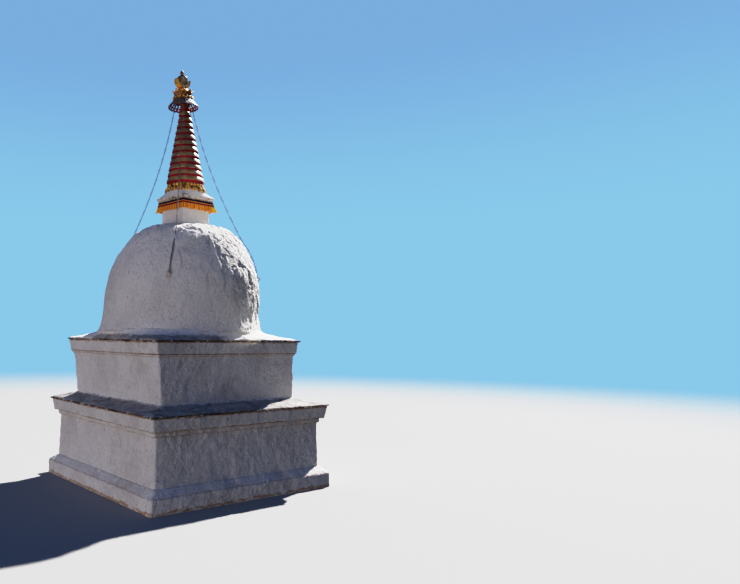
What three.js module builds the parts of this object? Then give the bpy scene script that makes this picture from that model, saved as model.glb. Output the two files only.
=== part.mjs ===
// A whitewashed stupa: three stepped square terraces, a dome, a square harmika with a cloth
// valance, and a ringed spire that ends in a crescent, a sun and a jewel, with four chain stays.
// Millimetres, +Z up. The origin is the middle of the base step's underside.
// The front faces -Y. The levels were laid by hand, so from the upper terrace up each sits
// a little off the base's axis, by its own amount along SHIFT_WAY, and is turned a little.
import * as THREE from 'three';

const SHIFT_WAY = { x: 0.824, y: -0.567 };

// The direction of the front left corner from the middle, in degrees from +X.
const FIRST_CORNER = 225;

// Heights of the terraces' edges.
const STEP_EDGE_Z = 280;
const LOWER_FOOT_Z = 400;
const LOWER_CAP_Z = 1648;
const UPPER_FOOT_Z = 1771;
const UPPER_CAP_Z = 2950;
const DOME_FOOT_Z = 3105;

// Plan sizes of the terraces, from the ground up.
const STEP_SIDE = 4314;
const LOWER_WALL_FOOT_SIDE = 3950;
const LOWER_WALL_HEAD_SIDE = 3925;
const LOWER_FILLET_SIDE = 4005;
const LOWER_CORNICE_FOOT_SIDE = 4145;
const LOWER_CORNICE_HEAD_SIDE = 4225;
const LOWER_CAP_SIDE = 4291;
const UPPER_WALL_FOOT_SIDE = 3286;
const UPPER_WALL_MID_SIDE = 3339;
const UPPER_WALL_HEAD_SIDE = 3375;
const UPPER_CORNICE_FOOT_SIDE = 3475;
const UPPER_CORNICE_HEAD_SIDE = 3545;
const UPPER_CAP_SIDE = 3598;

const SLATE = 30;
const LOWER_FILLET_HEIGHT = 90;
const LOWER_CORNICE_HEIGHT = 250;
const UPPER_CORNICE_HEIGHT = 242;
const CAVETTO_HEIGHT = 75;
const LEDGE_INSET = 40;
const DOME_SEAT_MARGIN = 10;

// How far up its height the upper wall's faces bend outwards.
const WALL_BEND_SHARE = 0.62;

// How far each level sits along SHIFT_WAY, and how far it is turned, in degrees.
const UPPER_FOOT_SHIFT = -49;
const UPPER_HEAD_SHIFT = -86;
const UPPER_CAP_SHIFT = -100;
const UPPER_TURN = 1;
const DOME_FOOT_SHIFT = -124;
const DOME_HEAD_SHIFT = 6;
const HARMIKA_SHIFT = -20;
const HARMIKA_TURN = 5;
const SPIRE_FOOT_SHIFT = -30;
const SPIRE_HEAD_SHIFT = -62;
const UMBRELLA_SHIFT = -96;
const FINIAL_SHIFT = -112;
const MOON_SHIFT = -121;
const TIP_SHIFT = -134;

// The dome is a squared-off half ellipse over a belly line, with a flared foot and a
// shallow crown that the harmika stands on.
const DOME_RADIUS = 1662;
const DOME_BELLY_Z = 3550;
const DOME_RISE = 2000;
const DOME_SQUARENESS = 2.3;
const DOME_FLARE = 0.00036;
const DOME_SHOULDER_Z = 5335;
const DOME_HEAD_Z = 5400;
const DOME_HEAD_RADIUS = 560;
const DOME_SIDES = 64;
const DOME_COURSES = 16;

// The harmika, the square block between the dome and the spire.
const NECK_FOOT_SIDE = 765;
const NECK_SIDE = 735;
const NECK_FLARE_SHARE = 0.3;
const NECK_TOP_SHARE = 0.8;
const CORBEL_SIDE = 800;
const CORBEL_Z = 5800;
const HARMIKA_HEAD_Z = 5912;
const CORNICE_SIDE = 900;
const CORNICE_FACE = 88;
const CORNICE_UNDERCUT = 20;
const CORNICE_ROUND_HEIGHT = 28;
const LOTUS_FOOT_Z = 6112;

// The cloth valance that hangs under the harmika's cornice.
const VALANCE_TOP_SIDE = 846;
const VALANCE_FOOT_SIDE = 924;
const VALANCE_FOOT_Z = 5680;
const VALANCE_THICK = 14;
const VALANCE_CORNER_GAP = 4;

// The lotus under the rings and its row of beads. A profile is a list of points, each with
// its share of the piece's height and how far it is set in from the piece's radius.
const LOTUS_RADIUS = 452;
const LOTUS_INSET = 20;
const LOTUS_SHARE = 0.5;
const LOTUS_PROFILE = [[0, 30], [0.31, 0], [0.8, 12], [1, 52]];
const BEAD_ROW_HEAD_Z = 6292;
const BEAD_ROW_PROFILE = [[0, 60], [0.35, 38], [0.75, 42], [1, 56]];

// The spire's rings.
const RING_COUNT = 13;
const FIRST_RING_Z = 6377;
const RING_PITCH = 135.5;
const RING_HEIGHT = 98;
const FIRST_RING_RADIUS = 400;
const LAST_RING_RADIUS = 101;
const RING_DEPTH = 22;
const RING_PROFILE = [[0, 8], [0.2, 0], [0.75, 0], [1, 8]];
const RING_SIDES = 32;
const SEAT_GAP = 0.3;

// The umbrella and what stands on it.
const UMBRELLA_RADIUS = 333;
const UMBRELLA_CROWN_RADIUS = 215;
const UMBRELLA_RIM_Z = 8042;
const UMBRELLA_CROWN_Z = 8180;
const UMBRELLA_SHEET = 8;
const FRINGE_DROP = 32;
const BEAD_RADIUS = 235;
const BEAD_HEIGHT = 78;
const BEAD_PROFILE = [[0, 25], [0.35, 0], [0.7, 0], [1, 20]];
const FINIAL_WAIST_RADIUS = 190;
const FINIAL_WAIST_SHARE = 0.3;
const FINIAL_CURL_SHARE = 0.4;
const FINIAL_TIP_RADIUS = 240;
const FINIAL_TIP_Z = 8388;
const FINIAL_SEAT_RADIUS = 95;
const FINIAL_LOTUS_Z = 8450;
const CRESCENT_RADIUS = 178;
const CRESCENT_BITE_RADIUS = 135;
const CRESCENT_THICK = 90;
const CRESCENT_DEPTH = 150;
const CRESCENT_FOOT = 55;
const CRESCENT_SEGMENTS = 16;
const HORN_ANGLE = THREE.MathUtils.degToRad(8);
const SUN_RADIUS = 112;
const SUN_DEPTH = 95;
const JEWEL_RADIUS = 45;
const JEWEL_PROFILE = [[0, 25], [0.4, 0], [0.68, 11]];
const JEWEL_SIDES = 24;
const TIP_Z = 8872;

// The four chain stays. They run along the plan's diagonals from an iron cross under the
// umbrella, sag a little, meet the dome and lie on it down to their anchors.
const COLLAR_RADIUS = 100;
const COLLAR_FOOT_Z = 8053;
const STAY_TOP_RADIUS = 182;
const STAY_TOP_Z = 8080;
const STAY_MEET_Z = 5050;
const STAY_SAG = 120;
const STAY_RADIUS = 13;
const STAY_SIDES = 6;
const STAY_STEPS = 10;
const STAY_CLEARANCE = 3;
const ANCHOR_Z = 4225;
const ANCHOR_WIDTH = 76;
const ANCHOR_DEPTH = 60;
const ANCHOR_HEIGHT = 90;
const HUB_THICK = 14;
const HUB_WIDTH = 36;
const SPINDLE_RADIUS = 42;
const SPINDLE_SIDES = 16;

const paint = {
  whitewash: new THREE.MeshStandardMaterial({ color: 0xd9d6d0, roughness: 0.9 }),
  mud: new THREE.MeshStandardMaterial({ color: 0x9a9a98, roughness: 0.95 }),
  slate: new THREE.MeshStandardMaterial({ color: 0x4c4a49, roughness: 0.85 }),
  cloth: new THREE.MeshStandardMaterial({ color: 0xd98a25, roughness: 0.9 }),
  crimson: new THREE.MeshStandardMaterial({ color: 0x7d1526, roughness: 0.7 }),
  ochre: new THREE.MeshStandardMaterial({ color: 0x9c7a3c, roughness: 0.7 }),
  tin: new THREE.MeshStandardMaterial({ color: 0xc9c6bd, roughness: 0.4, metalness: 0.8 }),
  gilt: new THREE.MeshStandardMaterial({ color: 0xb98b3a, roughness: 0.4, metalness: 0.9 }),
  copper: new THREE.MeshStandardMaterial({ color: 0x7a3a26, roughness: 0.5, metalness: 0.6 }),
  iron: new THREE.MeshStandardMaterial({ color: 0x3a3634, roughness: 0.7, metalness: 0.5 }),
};

const stupa = new THREE.Group();

function add(name, geometry, material) {
  const mesh = new THREE.Mesh(geometry, material);
  mesh.name = name;
  stupa.add(mesh);
  return mesh;
}

function shifted(amount) {
  return { x: SHIFT_WAY.x * amount, y: SHIFT_WAY.y * amount };
}

function mix(low, high, share) {
  return low + (high - low) * share;
}

// A square's corners at a height, turned in plan about its own middle.
function square(side, z, shift, turn = 0) {
  const middle = shifted(shift);
  const reach = side / Math.SQRT2;
  return [0, 1, 2, 3].map((corner) => {
    const angle = THREE.MathUtils.degToRad(FIRST_CORNER + 90 * corner + turn);
    return [middle.x + reach * Math.cos(angle), middle.y + reach * Math.sin(angle), z];
  });
}

// A circle's outline, whose first point lies on the upper terrace's diagonal.
function circle(radius, z, shift, sides) {
  const middle = shifted(shift);
  return Array.from({ length: sides }, (_, k) => {
    const first = THREE.MathUtils.degToRad(FIRST_CORNER + UPPER_TURN);
    const angle = first + (2 * Math.PI * k) / sides;
    return [middle.x + radius * Math.cos(angle), middle.y + radius * Math.sin(angle), z];
  });
}

// A square's outline with as many points as a circle, in the same directions from its middle.
function squareRing(side, z, shift, sides, turn = 0) {
  const middle = shifted(shift);
  return Array.from({ length: sides }, (_, k) => {
    const own = THREE.MathUtils.degToRad(FIRST_CORNER) + (2 * Math.PI * k) / sides;
    const reach = side / 2 / Math.max(Math.abs(Math.cos(own)), Math.abs(Math.sin(own)));
    const angle = own + THREE.MathUtils.degToRad(turn);
    return [middle.x + reach * Math.cos(angle), middle.y + reach * Math.sin(angle), z];
  });
}

// A closed solid through outlines stacked from the lowest to the highest, each seen
// anticlockwise from above and convex.
function loft(outlines) {
  const sides = outlines[0].length;
  const points = outlines.flat();
  const faces = [];
  for (let level = 0; level + 1 < outlines.length; level += 1) {
    for (let k = 0; k < sides; k += 1) {
      const a = level * sides + k;
      const b = level * sides + ((k + 1) % sides);
      faces.push(a, b, b + sides, a, b + sides, a + sides);
    }
  }
  const top = (outlines.length - 1) * sides;
  for (let k = 1; k + 1 < sides; k += 1) {
    faces.push(0, k + 1, k);
    faces.push(top, top + k, top + k + 1);
  }
  const geometry = new THREE.BufferGeometry();
  geometry.setAttribute('position', new THREE.Float32BufferAttribute(points.flat(), 3));
  geometry.setIndex(faces);
  return geometry;
}

// A turned shape from a profile of [radius, height] points that starts and ends on the
// axis, or closes on itself.
function turned(profile, shift, sides = RING_SIDES) {
  const points = profile.map(([radius, z]) => new THREE.Vector2(radius, z));
  const geometry = new THREE.LatheGeometry(points, sides);
  geometry.rotateX(Math.PI / 2);
  const middle = shifted(shift);
  geometry.translate(middle.x, middle.y, 0);
  return geometry;
}

// A solid turned piece between two heights, from a profile of shares and insets.
function turnedPiece(name, radius, foot, head, profile, shift, material) {
  const outside = profile.map(([share, inset]) => [radius - inset, mix(foot, head, share)]);
  add(name, turned([[0, foot], ...outside, [0, head]], shift), material);
}

// The ground step, mostly hidden, with its sloped mud top.
function baseStep() {
  add('base_step', loft([
    square(STEP_SIDE, 0, 0),
    square(STEP_SIDE, STEP_EDGE_Z, 0),
    square(LOWER_WALL_FOOT_SIDE + LEDGE_INSET, LOWER_FOOT_Z, 0),
  ]), paint.whitewash);
}

function lowerTerrace() {
  const slateFoot = LOWER_CAP_Z - SLATE;
  const corniceFoot = slateFoot - LOWER_CORNICE_HEIGHT;
  const filletFoot = corniceFoot - LOWER_FILLET_HEIGHT;
  const level = (side, z) => square(side, z, 0);
  add('lower_terrace_wall', loft([
    level(LOWER_WALL_FOOT_SIDE, LOWER_FOOT_Z),
    level(LOWER_WALL_HEAD_SIDE, filletFoot),
  ]), paint.whitewash);
  add('lower_terrace_fillet', loft([
    level(LOWER_FILLET_SIDE, filletFoot),
    level(LOWER_FILLET_SIDE, corniceFoot),
  ]), paint.whitewash);
  add('lower_terrace_cornice', loft([
    level(LOWER_CORNICE_FOOT_SIDE, corniceFoot),
    level(LOWER_CORNICE_HEAD_SIDE, slateFoot),
  ]), paint.whitewash);
  add('lower_terrace_slates', loft([
    level(LOWER_CAP_SIDE, slateFoot),
    level(LOWER_CAP_SIDE, LOWER_CAP_Z),
  ]), paint.slate);
  add('lower_terrace_ledge', loft([
    level(LOWER_CAP_SIDE - LEDGE_INSET, LOWER_CAP_Z),
    square(UPPER_WALL_FOOT_SIDE + LEDGE_INSET, UPPER_FOOT_Z, UPPER_FOOT_SHIFT, UPPER_TURN),
  ]), paint.mud);
}

function upperTerrace() {
  const slateFoot = UPPER_CAP_Z - SLATE;
  const corniceFoot = slateFoot - UPPER_CORNICE_HEIGHT;
  const cavettoFoot = corniceFoot - CAVETTO_HEIGHT;
  const wallMid = mix(UPPER_FOOT_Z, cavettoFoot, WALL_BEND_SHARE);
  const midShift = mix(UPPER_FOOT_SHIFT, UPPER_HEAD_SHIFT, WALL_BEND_SHARE);
  const level = (side, z, shift) => square(side, z, shift, UPPER_TURN);
  add('upper_terrace_wall', loft([
    level(UPPER_WALL_FOOT_SIDE, UPPER_FOOT_Z, UPPER_FOOT_SHIFT),
    level(UPPER_WALL_MID_SIDE, wallMid, midShift),
    level(UPPER_WALL_HEAD_SIDE, cavettoFoot, UPPER_HEAD_SHIFT),
    level(UPPER_CORNICE_FOOT_SIDE, corniceFoot, UPPER_HEAD_SHIFT),
  ]), paint.whitewash);
  add('upper_terrace_cornice', loft([
    level(UPPER_CORNICE_FOOT_SIDE, corniceFoot, UPPER_HEAD_SHIFT),
    level(UPPER_CORNICE_HEAD_SIDE, slateFoot, UPPER_CAP_SHIFT),
  ]), paint.whitewash);
  add('upper_terrace_slates', loft([
    level(UPPER_CAP_SIDE, slateFoot, UPPER_CAP_SHIFT),
    level(UPPER_CAP_SIDE, UPPER_CAP_Z, UPPER_CAP_SHIFT),
  ]), paint.slate);
  const edgeSide = UPPER_CAP_SIDE - LEDGE_INSET;
  const domeSeat = domeRadius(DOME_FOOT_Z) + DOME_SEAT_MARGIN;
  add('upper_terrace_ledge', loft([
    squareRing(edgeSide, UPPER_CAP_Z, UPPER_CAP_SHIFT, DOME_SIDES, UPPER_TURN),
    circle(domeSeat, DOME_FOOT_Z, DOME_FOOT_SHIFT, DOME_SIDES),
  ]), paint.mud);
}

function domeRadius(z) {
  if (z < DOME_BELLY_Z) {
    return DOME_RADIUS + DOME_FLARE * (DOME_BELLY_Z - z) ** 2;
  }
  if (z > DOME_SHOULDER_Z) {
    const share = (z - DOME_SHOULDER_Z) / (DOME_HEAD_Z - DOME_SHOULDER_Z);
    return mix(domeRadius(DOME_SHOULDER_Z), DOME_HEAD_RADIUS, share);
  }
  const rise = (z - DOME_BELLY_Z) / DOME_RISE;
  return DOME_RADIUS * (1 - rise ** DOME_SQUARENESS) ** (1 / DOME_SQUARENESS);
}

function domeShift(z) {
  const share = (z - DOME_FOOT_Z) / (DOME_HEAD_Z - DOME_FOOT_Z);
  return mix(DOME_FOOT_SHIFT, DOME_HEAD_SHIFT, share);
}

// The heights of the dome's courses, closer together towards its shoulder.
function domeCourses() {
  const rising = Array.from({ length: DOME_COURSES + 1 }, (_, course) => {
    const share = Math.sin((course / DOME_COURSES) * Math.PI / 2);
    return mix(DOME_FOOT_Z, DOME_SHOULDER_Z, share);
  });
  return [...rising, DOME_HEAD_Z];
}

// The radius of the dome's faceted surface, which is straight from course to course.
function domeFaceRadius(z) {
  const courses = domeCourses();
  const above = Math.max(1, courses.findIndex((course) => course >= z));
  const [low, high] = [courses[above - 1], courses[above]];
  return mix(domeRadius(low), domeRadius(high), (z - low) / (high - low));
}

function dome() {
  const outline = (z) => circle(domeRadius(z), z, domeShift(z), DOME_SIDES);
  add('dome', loft(domeCourses().map(outline)), paint.whitewash);
}

function harmika() {
  const level = (side, z) => square(side, z, HARMIKA_SHIFT, HARMIKA_TURN);
  const flareTop = mix(DOME_HEAD_Z, CORBEL_Z, NECK_FLARE_SHARE);
  const neckTop = mix(DOME_HEAD_Z, CORBEL_Z, NECK_TOP_SHARE);
  add('harmika_neck', loft([
    level(NECK_FOOT_SIDE, DOME_HEAD_Z),
    level(NECK_SIDE, flareTop),
    level(NECK_SIDE, neckTop),
    level(CORBEL_SIDE, CORBEL_Z),
    level(CORBEL_SIDE, HARMIKA_HEAD_Z),
  ]), paint.whitewash);
  const rim = (side, z) => squareRing(side, z, HARMIKA_SHIFT, RING_SIDES, HARMIKA_TURN);
  add('harmika_cornice', loft([
    rim(CORNICE_SIDE - CORNICE_UNDERCUT, HARMIKA_HEAD_Z),
    rim(CORNICE_SIDE, HARMIKA_HEAD_Z + CORNICE_ROUND_HEIGHT),
    rim(CORNICE_SIDE, HARMIKA_HEAD_Z + CORNICE_FACE),
    circle(LOTUS_RADIUS - LOTUS_INSET, LOTUS_FOOT_Z, SPIRE_FOOT_SHIFT, RING_SIDES),
  ]), paint.whitewash);
}

// One thin side of the valance: its top edge hangs under the cornice, its foot flares out.
function valance() {
  const names = ['valance_front', 'valance_right', 'valance_back', 'valance_left'];
  const middle = shifted(HARMIKA_SHIFT);
  names.forEach((name, side) => {
    const angle = THREE.MathUtils.degToRad(90 * side + HARMIKA_TURN);
    const place = (along, out, z) => [
      middle.x + along * Math.cos(angle) + out * Math.sin(angle),
      middle.y + along * Math.sin(angle) - out * Math.cos(angle),
      z,
    ];
    const edge = (width, z) => {
      const outer = width / 2;
      const inner = outer - VALANCE_THICK;
      const outerEnd = outer - VALANCE_CORNER_GAP;
      const innerEnd = inner - VALANCE_CORNER_GAP;
      return [
        place(-outerEnd, outer, z),
        place(outerEnd, outer, z),
        place(innerEnd, inner, z),
        place(-innerEnd, inner, z),
      ];
    };
    add(name, loft([
      edge(VALANCE_FOOT_SIDE, VALANCE_FOOT_Z),
      edge(VALANCE_TOP_SIDE, HARMIKA_HEAD_Z),
    ]), paint.cloth);
  });
}

function ringRadius(z) {
  const lastZ = FIRST_RING_Z + RING_PITCH * (RING_COUNT - 1);
  return mix(FIRST_RING_RADIUS, LAST_RING_RADIUS, (z - FIRST_RING_Z) / (lastZ - FIRST_RING_Z));
}

function spireShift(z) {
  return mix(SPIRE_FOOT_SHIFT, SPIRE_HEAD_SHIFT, (z - LOTUS_FOOT_Z) / (COLLAR_FOOT_Z - LOTUS_FOOT_Z));
}

// The double lotus under the rings, and the cone that carries them.
function spireBody() {
  const beadZ = mix(LOTUS_FOOT_Z, BEAD_ROW_HEAD_Z, LOTUS_SHARE);
  const around = (name, foot, head, profile) => (
    turnedPiece(name, LOTUS_RADIUS, foot, head, profile, SPIRE_FOOT_SHIFT, paint.ochre));
  around('spire_lotus', LOTUS_FOOT_Z, beadZ, LOTUS_PROFILE);
  around('spire_beads', beadZ, BEAD_ROW_HEAD_Z, BEAD_ROW_PROFILE);
  const core = (z) => circle(ringRadius(z) - RING_DEPTH, z, spireShift(z), RING_SIDES);
  add('spire_core', loft([core(BEAD_ROW_HEAD_Z), core(COLLAR_FOOT_Z)]), paint.crimson);
  add('spire_collar', loft([
    circle(COLLAR_RADIUS, COLLAR_FOOT_Z, SPIRE_HEAD_SHIFT, RING_SIDES),
    circle(COLLAR_RADIUS, STAY_TOP_Z, SPIRE_HEAD_SHIFT, RING_SIDES),
  ]), paint.ochre);
}

// A ring fits round the cone with a hair of room, and its own edge is rounded.
function ring(name, middleZ) {
  const foot = middleZ - RING_HEIGHT / 2;
  const head = middleZ + RING_HEIGHT / 2;
  const bore = RING_DEPTH - SEAT_GAP;
  const outlines = [...RING_PROFILE, [1, bore], [0, bore]].map(([share, inset]) => {
    const z = mix(foot, head, share);
    return circle(ringRadius(z) - inset, z, spireShift(z), RING_SIDES);
  });
  add(name, sleeve(outlines), paint.ochre);
}

// A closed loop of outlines: up the outside, over, down the bore and back under.
function sleeve(outlines) {
  const sides = outlines[0].length;
  const count = outlines.length;
  const faces = [];
  for (let level = 0; level < count; level += 1) {
    const next = (level + 1) % count;
    for (let k = 0; k < sides; k += 1) {
      const far = (k + 1) % sides;
      const a = level * sides + k;
      const b = level * sides + far;
      const c = next * sides + far;
      const d = next * sides + k;
      faces.push(a, b, c, a, c, d);
    }
  }
  const geometry = new THREE.BufferGeometry();
  const points = outlines.flat(2);
  geometry.setAttribute('position', new THREE.Float32BufferAttribute(points, 3));
  geometry.setIndex(faces);
  return geometry;
}

function rings() {
  for (let k = 1; k <= RING_COUNT; k += 1) {
    const number = String(k).padStart(2, '0');
    ring(`spire_ring_${number}`, FIRST_RING_Z + RING_PITCH * (k - 1));
  }
}

// The iron cross on the spire's collar that the stays hang from.
function stayHub() {
  const middle = shifted(UMBRELLA_SHIFT);
  const arm = STAY_TOP_RADIUS + HUB_WIDTH / 2;
  const half = HUB_WIDTH / 2;
  const shape = new THREE.Shape();
  shape.setFromPoints([
    [half, half], [half, arm], [-half, arm], [-half, half],
    [-arm, half], [-arm, -half], [-half, -half], [-half, -arm],
    [half, -arm], [half, -half], [arm, -half], [arm, half],
  ].map(([x, y]) => new THREE.Vector2(x, y)));
  const geometry = new THREE.ExtrudeGeometry(shape, { depth: HUB_THICK, bevelEnabled: false });
  const hub = add('stay_hub', geometry, paint.iron);
  hub.position.set(middle.x, middle.y, STAY_TOP_Z);
  hub.rotation.z = Math.PI / 4;
}

function umbrella() {
  const under = UMBRELLA_CROWN_Z - UMBRELLA_SHEET;
  add('umbrella_spindle', loft([
    circle(SPINDLE_RADIUS, STAY_TOP_Z + HUB_THICK, UMBRELLA_SHIFT, SPINDLE_SIDES),
    circle(SPINDLE_RADIUS, under, UMBRELLA_SHIFT, SPINDLE_SIDES),
  ]), paint.iron);
  add('umbrella_canopy', turned([
    [0, under],
    [UMBRELLA_CROWN_RADIUS - UMBRELLA_SHEET, under],
    [UMBRELLA_RADIUS - UMBRELLA_SHEET, UMBRELLA_RIM_Z],
    [UMBRELLA_RADIUS, UMBRELLA_RIM_Z],
    [UMBRELLA_CROWN_RADIUS, UMBRELLA_CROWN_Z],
    [0, UMBRELLA_CROWN_Z],
  ], UMBRELLA_SHIFT), paint.tin);
  const fringeFoot = UMBRELLA_RIM_Z - FRINGE_DROP;
  add('umbrella_fringe', turned([
    [UMBRELLA_RADIUS - UMBRELLA_SHEET, fringeFoot],
    [UMBRELLA_RADIUS, fringeFoot],
    [UMBRELLA_RADIUS, UMBRELLA_RIM_Z],
    [UMBRELLA_RADIUS - UMBRELLA_SHEET, UMBRELLA_RIM_Z],
    [UMBRELLA_RADIUS - UMBRELLA_SHEET, fringeFoot],
  ], UMBRELLA_SHIFT), paint.copper);
}

function finial() {
  const beadTop = UMBRELLA_CROWN_Z + BEAD_HEIGHT;
  const beadShift = mix(UMBRELLA_SHIFT, FINIAL_SHIFT, 0.5);
  turnedPiece('finial_beads', BEAD_RADIUS, UMBRELLA_CROWN_Z, beadTop, BEAD_PROFILE, beadShift, paint.gilt);
  add('finial_lotus', turned([
    [0, beadTop],
    [FINIAL_WAIST_RADIUS, beadTop],
    [FINIAL_WAIST_RADIUS, mix(beadTop, FINIAL_TIP_Z, FINIAL_WAIST_SHARE)],
    [FINIAL_TIP_RADIUS, FINIAL_TIP_Z],
    [FINIAL_WAIST_RADIUS, mix(FINIAL_TIP_Z, FINIAL_LOTUS_Z, FINIAL_CURL_SHARE)],
    [FINIAL_SEAT_RADIUS, FINIAL_LOTUS_Z],
    [0, FINIAL_LOTUS_Z],
  ], FINIAL_SHIFT), paint.copper);
}

// The crescent stands on its flattened foot with its flat sides to the front and back.
function crescent() {
  const middle = shifted(MOON_SHIFT);
  const footAngle = Math.asin(CRESCENT_FOOT / 2 / CRESCENT_RADIUS);
  const middleZ = FINIAL_LOTUS_Z + CRESCENT_RADIUS * Math.cos(footAngle);
  const biteY = CRESCENT_BITE_RADIUS - CRESCENT_RADIUS + CRESCENT_THICK;
  const biteAngle = Math.asin((CRESCENT_RADIUS * Math.sin(HORN_ANGLE) - biteY) / CRESCENT_BITE_RADIUS);
  const down = 1.5 * Math.PI;
  const shape = new THREE.Shape();
  shape.absarc(0, 0, CRESCENT_RADIUS, Math.PI - HORN_ANGLE, down - footAngle, false);
  shape.absarc(0, 0, CRESCENT_RADIUS, down + footAngle, 2 * Math.PI + HORN_ANGLE, false);
  shape.absarc(0, biteY, CRESCENT_BITE_RADIUS, biteAngle, -Math.PI - biteAngle, true);
  const options = {
    depth: CRESCENT_DEPTH,
    bevelEnabled: false,
    curveSegments: CRESCENT_SEGMENTS,
  };
  const geometry = new THREE.ExtrudeGeometry(shape, options);
  geometry.translate(0, 0, -CRESCENT_DEPTH / 2);
  geometry.rotateX(Math.PI / 2);
  geometry.translate(middle.x, middle.y, middleZ);
  add('crescent_moon', geometry, paint.gilt);
  return middleZ + biteY - CRESCENT_BITE_RADIUS;
}

// The sun disc sits in the crescent's hollow, and the jewel on the sun.
function sunAndJewel(hollowZ) {
  const middle = shifted(MOON_SHIFT);
  const sunZ = hollowZ + SUN_RADIUS + SEAT_GAP;
  const disc = new THREE.CylinderGeometry(SUN_RADIUS, SUN_RADIUS, SUN_DEPTH, RING_SIDES);
  add('sun_disc', disc, paint.gilt).position.set(middle.x, middle.y, sunZ);
  const foot = sunZ + SUN_RADIUS + SEAT_GAP;
  const outside = JEWEL_PROFILE.map(([share, inset]) => [
    JEWEL_RADIUS - inset,
    mix(foot, TIP_Z, share),
  ]);
  add('jewel', turned([[0, foot], ...outside, [0, TIP_Z]], TIP_SHIFT, JEWEL_SIDES), paint.gilt);
}

// Where a stay runs in plan: out along its diagonal, from a middle line that goes from the
// umbrella's down to the dome's.
function stayPlan(angle) {
  const way = { x: Math.cos(angle), y: Math.sin(angle) };
  return (out, across, z) => {
    const share = Math.max(0, (z - STAY_MEET_Z) / (STAY_TOP_Z - STAY_MEET_Z));
    const low = domeShift(Math.min(z, STAY_MEET_Z));
    const middle = shifted(mix(low, UMBRELLA_SHIFT, share));
    return [middle.x + out * way.x - across * way.y, middle.y + out * way.y + across * way.x, z];
  };
}

// A stay's distance from its middle line: on the dome below the height where they meet,
// and above it a straight line less the sag.
function stayReach(z) {
  const lying = domeFaceRadius(Math.min(z, STAY_MEET_Z)) + STAY_RADIUS + STAY_CLEARANCE;
  const share = Math.max(0, (z - STAY_MEET_Z) / (STAY_TOP_Z - STAY_MEET_Z));
  return mix(lying, STAY_TOP_RADIUS, share) - 4 * STAY_SAG * share * (1 - share);
}

function stay(name, angle) {
  const place = stayPlan(angle);
  const foot = ANCHOR_Z + ANCHOR_HEIGHT / 2;
  const onDome = domeCourses().filter((z) => z > foot && z < STAY_MEET_Z);
  const free = Array.from({ length: STAY_STEPS + 1 }, (_, k) => (
    mix(STAY_MEET_Z, STAY_TOP_Z, k / STAY_STEPS)));
  add(name, loft([foot, ...onDome, ...free].map((z) => {
    const [x, y] = place(stayReach(z), 0, z);
    return Array.from({ length: STAY_SIDES }, (_, n) => {
      const turn = (2 * Math.PI * n) / STAY_SIDES;
      return [x + STAY_RADIUS * Math.cos(turn), y + STAY_RADIUS * Math.sin(turn), z];
    });
  })), paint.iron);
}

// The block that a stay ends in, with its back on the dome.
function anchor(name, angle) {
  const place = stayPlan(angle);
  const outer = domeFaceRadius(ANCHOR_Z) + ANCHOR_DEPTH;
  const half = ANCHOR_WIDTH / 2;
  const outline = (z) => [
    place(outer, -half, z),
    place(outer, half, z),
    place(domeFaceRadius(z) + SEAT_GAP, half, z),
    place(domeFaceRadius(z) + SEAT_GAP, -half, z),
  ];
  add(name, loft([
    outline(ANCHOR_Z - ANCHOR_HEIGHT / 2),
    outline(ANCHOR_Z + ANCHOR_HEIGHT / 2),
  ]), paint.iron);
}

function stays() {
  ['front', 'right', 'back', 'left'].forEach((corner, k) => {
    const angle = THREE.MathUtils.degToRad(FIRST_CORNER + UPPER_TURN + 90 * k);
    stay(`stay_${corner}`, angle);
    anchor(`anchor_${corner}`, angle);
  });
}

baseStep();
lowerTerrace();
upperTerrace();
dome();
harmika();
valance();
spireBody();
rings();
stayHub();
umbrella();
finial();
sunAndJewel(crescent());
stays();

export default stupa;
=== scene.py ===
"""The looks of a whitewashed stupa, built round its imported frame.

Metres, +Z up. The front faces -Y. Masonry is a skin of points pushed in and out by a hand-laid
relief, and the spire, umbrella, finial, valance and chains are modelled piece by piece.
"""

import functools
import math

import bpy
import numpy as np
from mathutils import Matrix, Vector


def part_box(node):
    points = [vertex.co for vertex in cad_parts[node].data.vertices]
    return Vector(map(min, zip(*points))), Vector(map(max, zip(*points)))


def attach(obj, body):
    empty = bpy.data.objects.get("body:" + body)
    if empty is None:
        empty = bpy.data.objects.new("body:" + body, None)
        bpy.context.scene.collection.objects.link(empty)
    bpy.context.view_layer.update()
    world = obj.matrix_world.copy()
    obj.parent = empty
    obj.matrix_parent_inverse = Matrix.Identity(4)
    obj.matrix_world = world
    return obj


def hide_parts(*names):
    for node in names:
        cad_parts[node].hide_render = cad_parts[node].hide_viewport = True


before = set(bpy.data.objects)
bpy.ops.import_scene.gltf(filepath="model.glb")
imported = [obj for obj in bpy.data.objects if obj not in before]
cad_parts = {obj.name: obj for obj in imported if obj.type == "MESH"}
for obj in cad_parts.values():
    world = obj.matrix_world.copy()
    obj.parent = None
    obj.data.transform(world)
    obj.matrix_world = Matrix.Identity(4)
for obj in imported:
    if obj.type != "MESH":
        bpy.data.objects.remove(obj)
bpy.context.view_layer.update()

# The photo's frame, and the camera that was solved from the terraces' corners.
PHOTO_WIDTH = 740
PRINCIPAL_X = 182.5
FOCAL_PIXELS = 646.2
SENSOR = 36.0
CAMERA_PLACE = (-7.947, -11.438, 3.047)
CAMERA_YAW, CAMERA_PITCH, CAMERA_ROLL = 34.52, 3.76, 0.67

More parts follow.
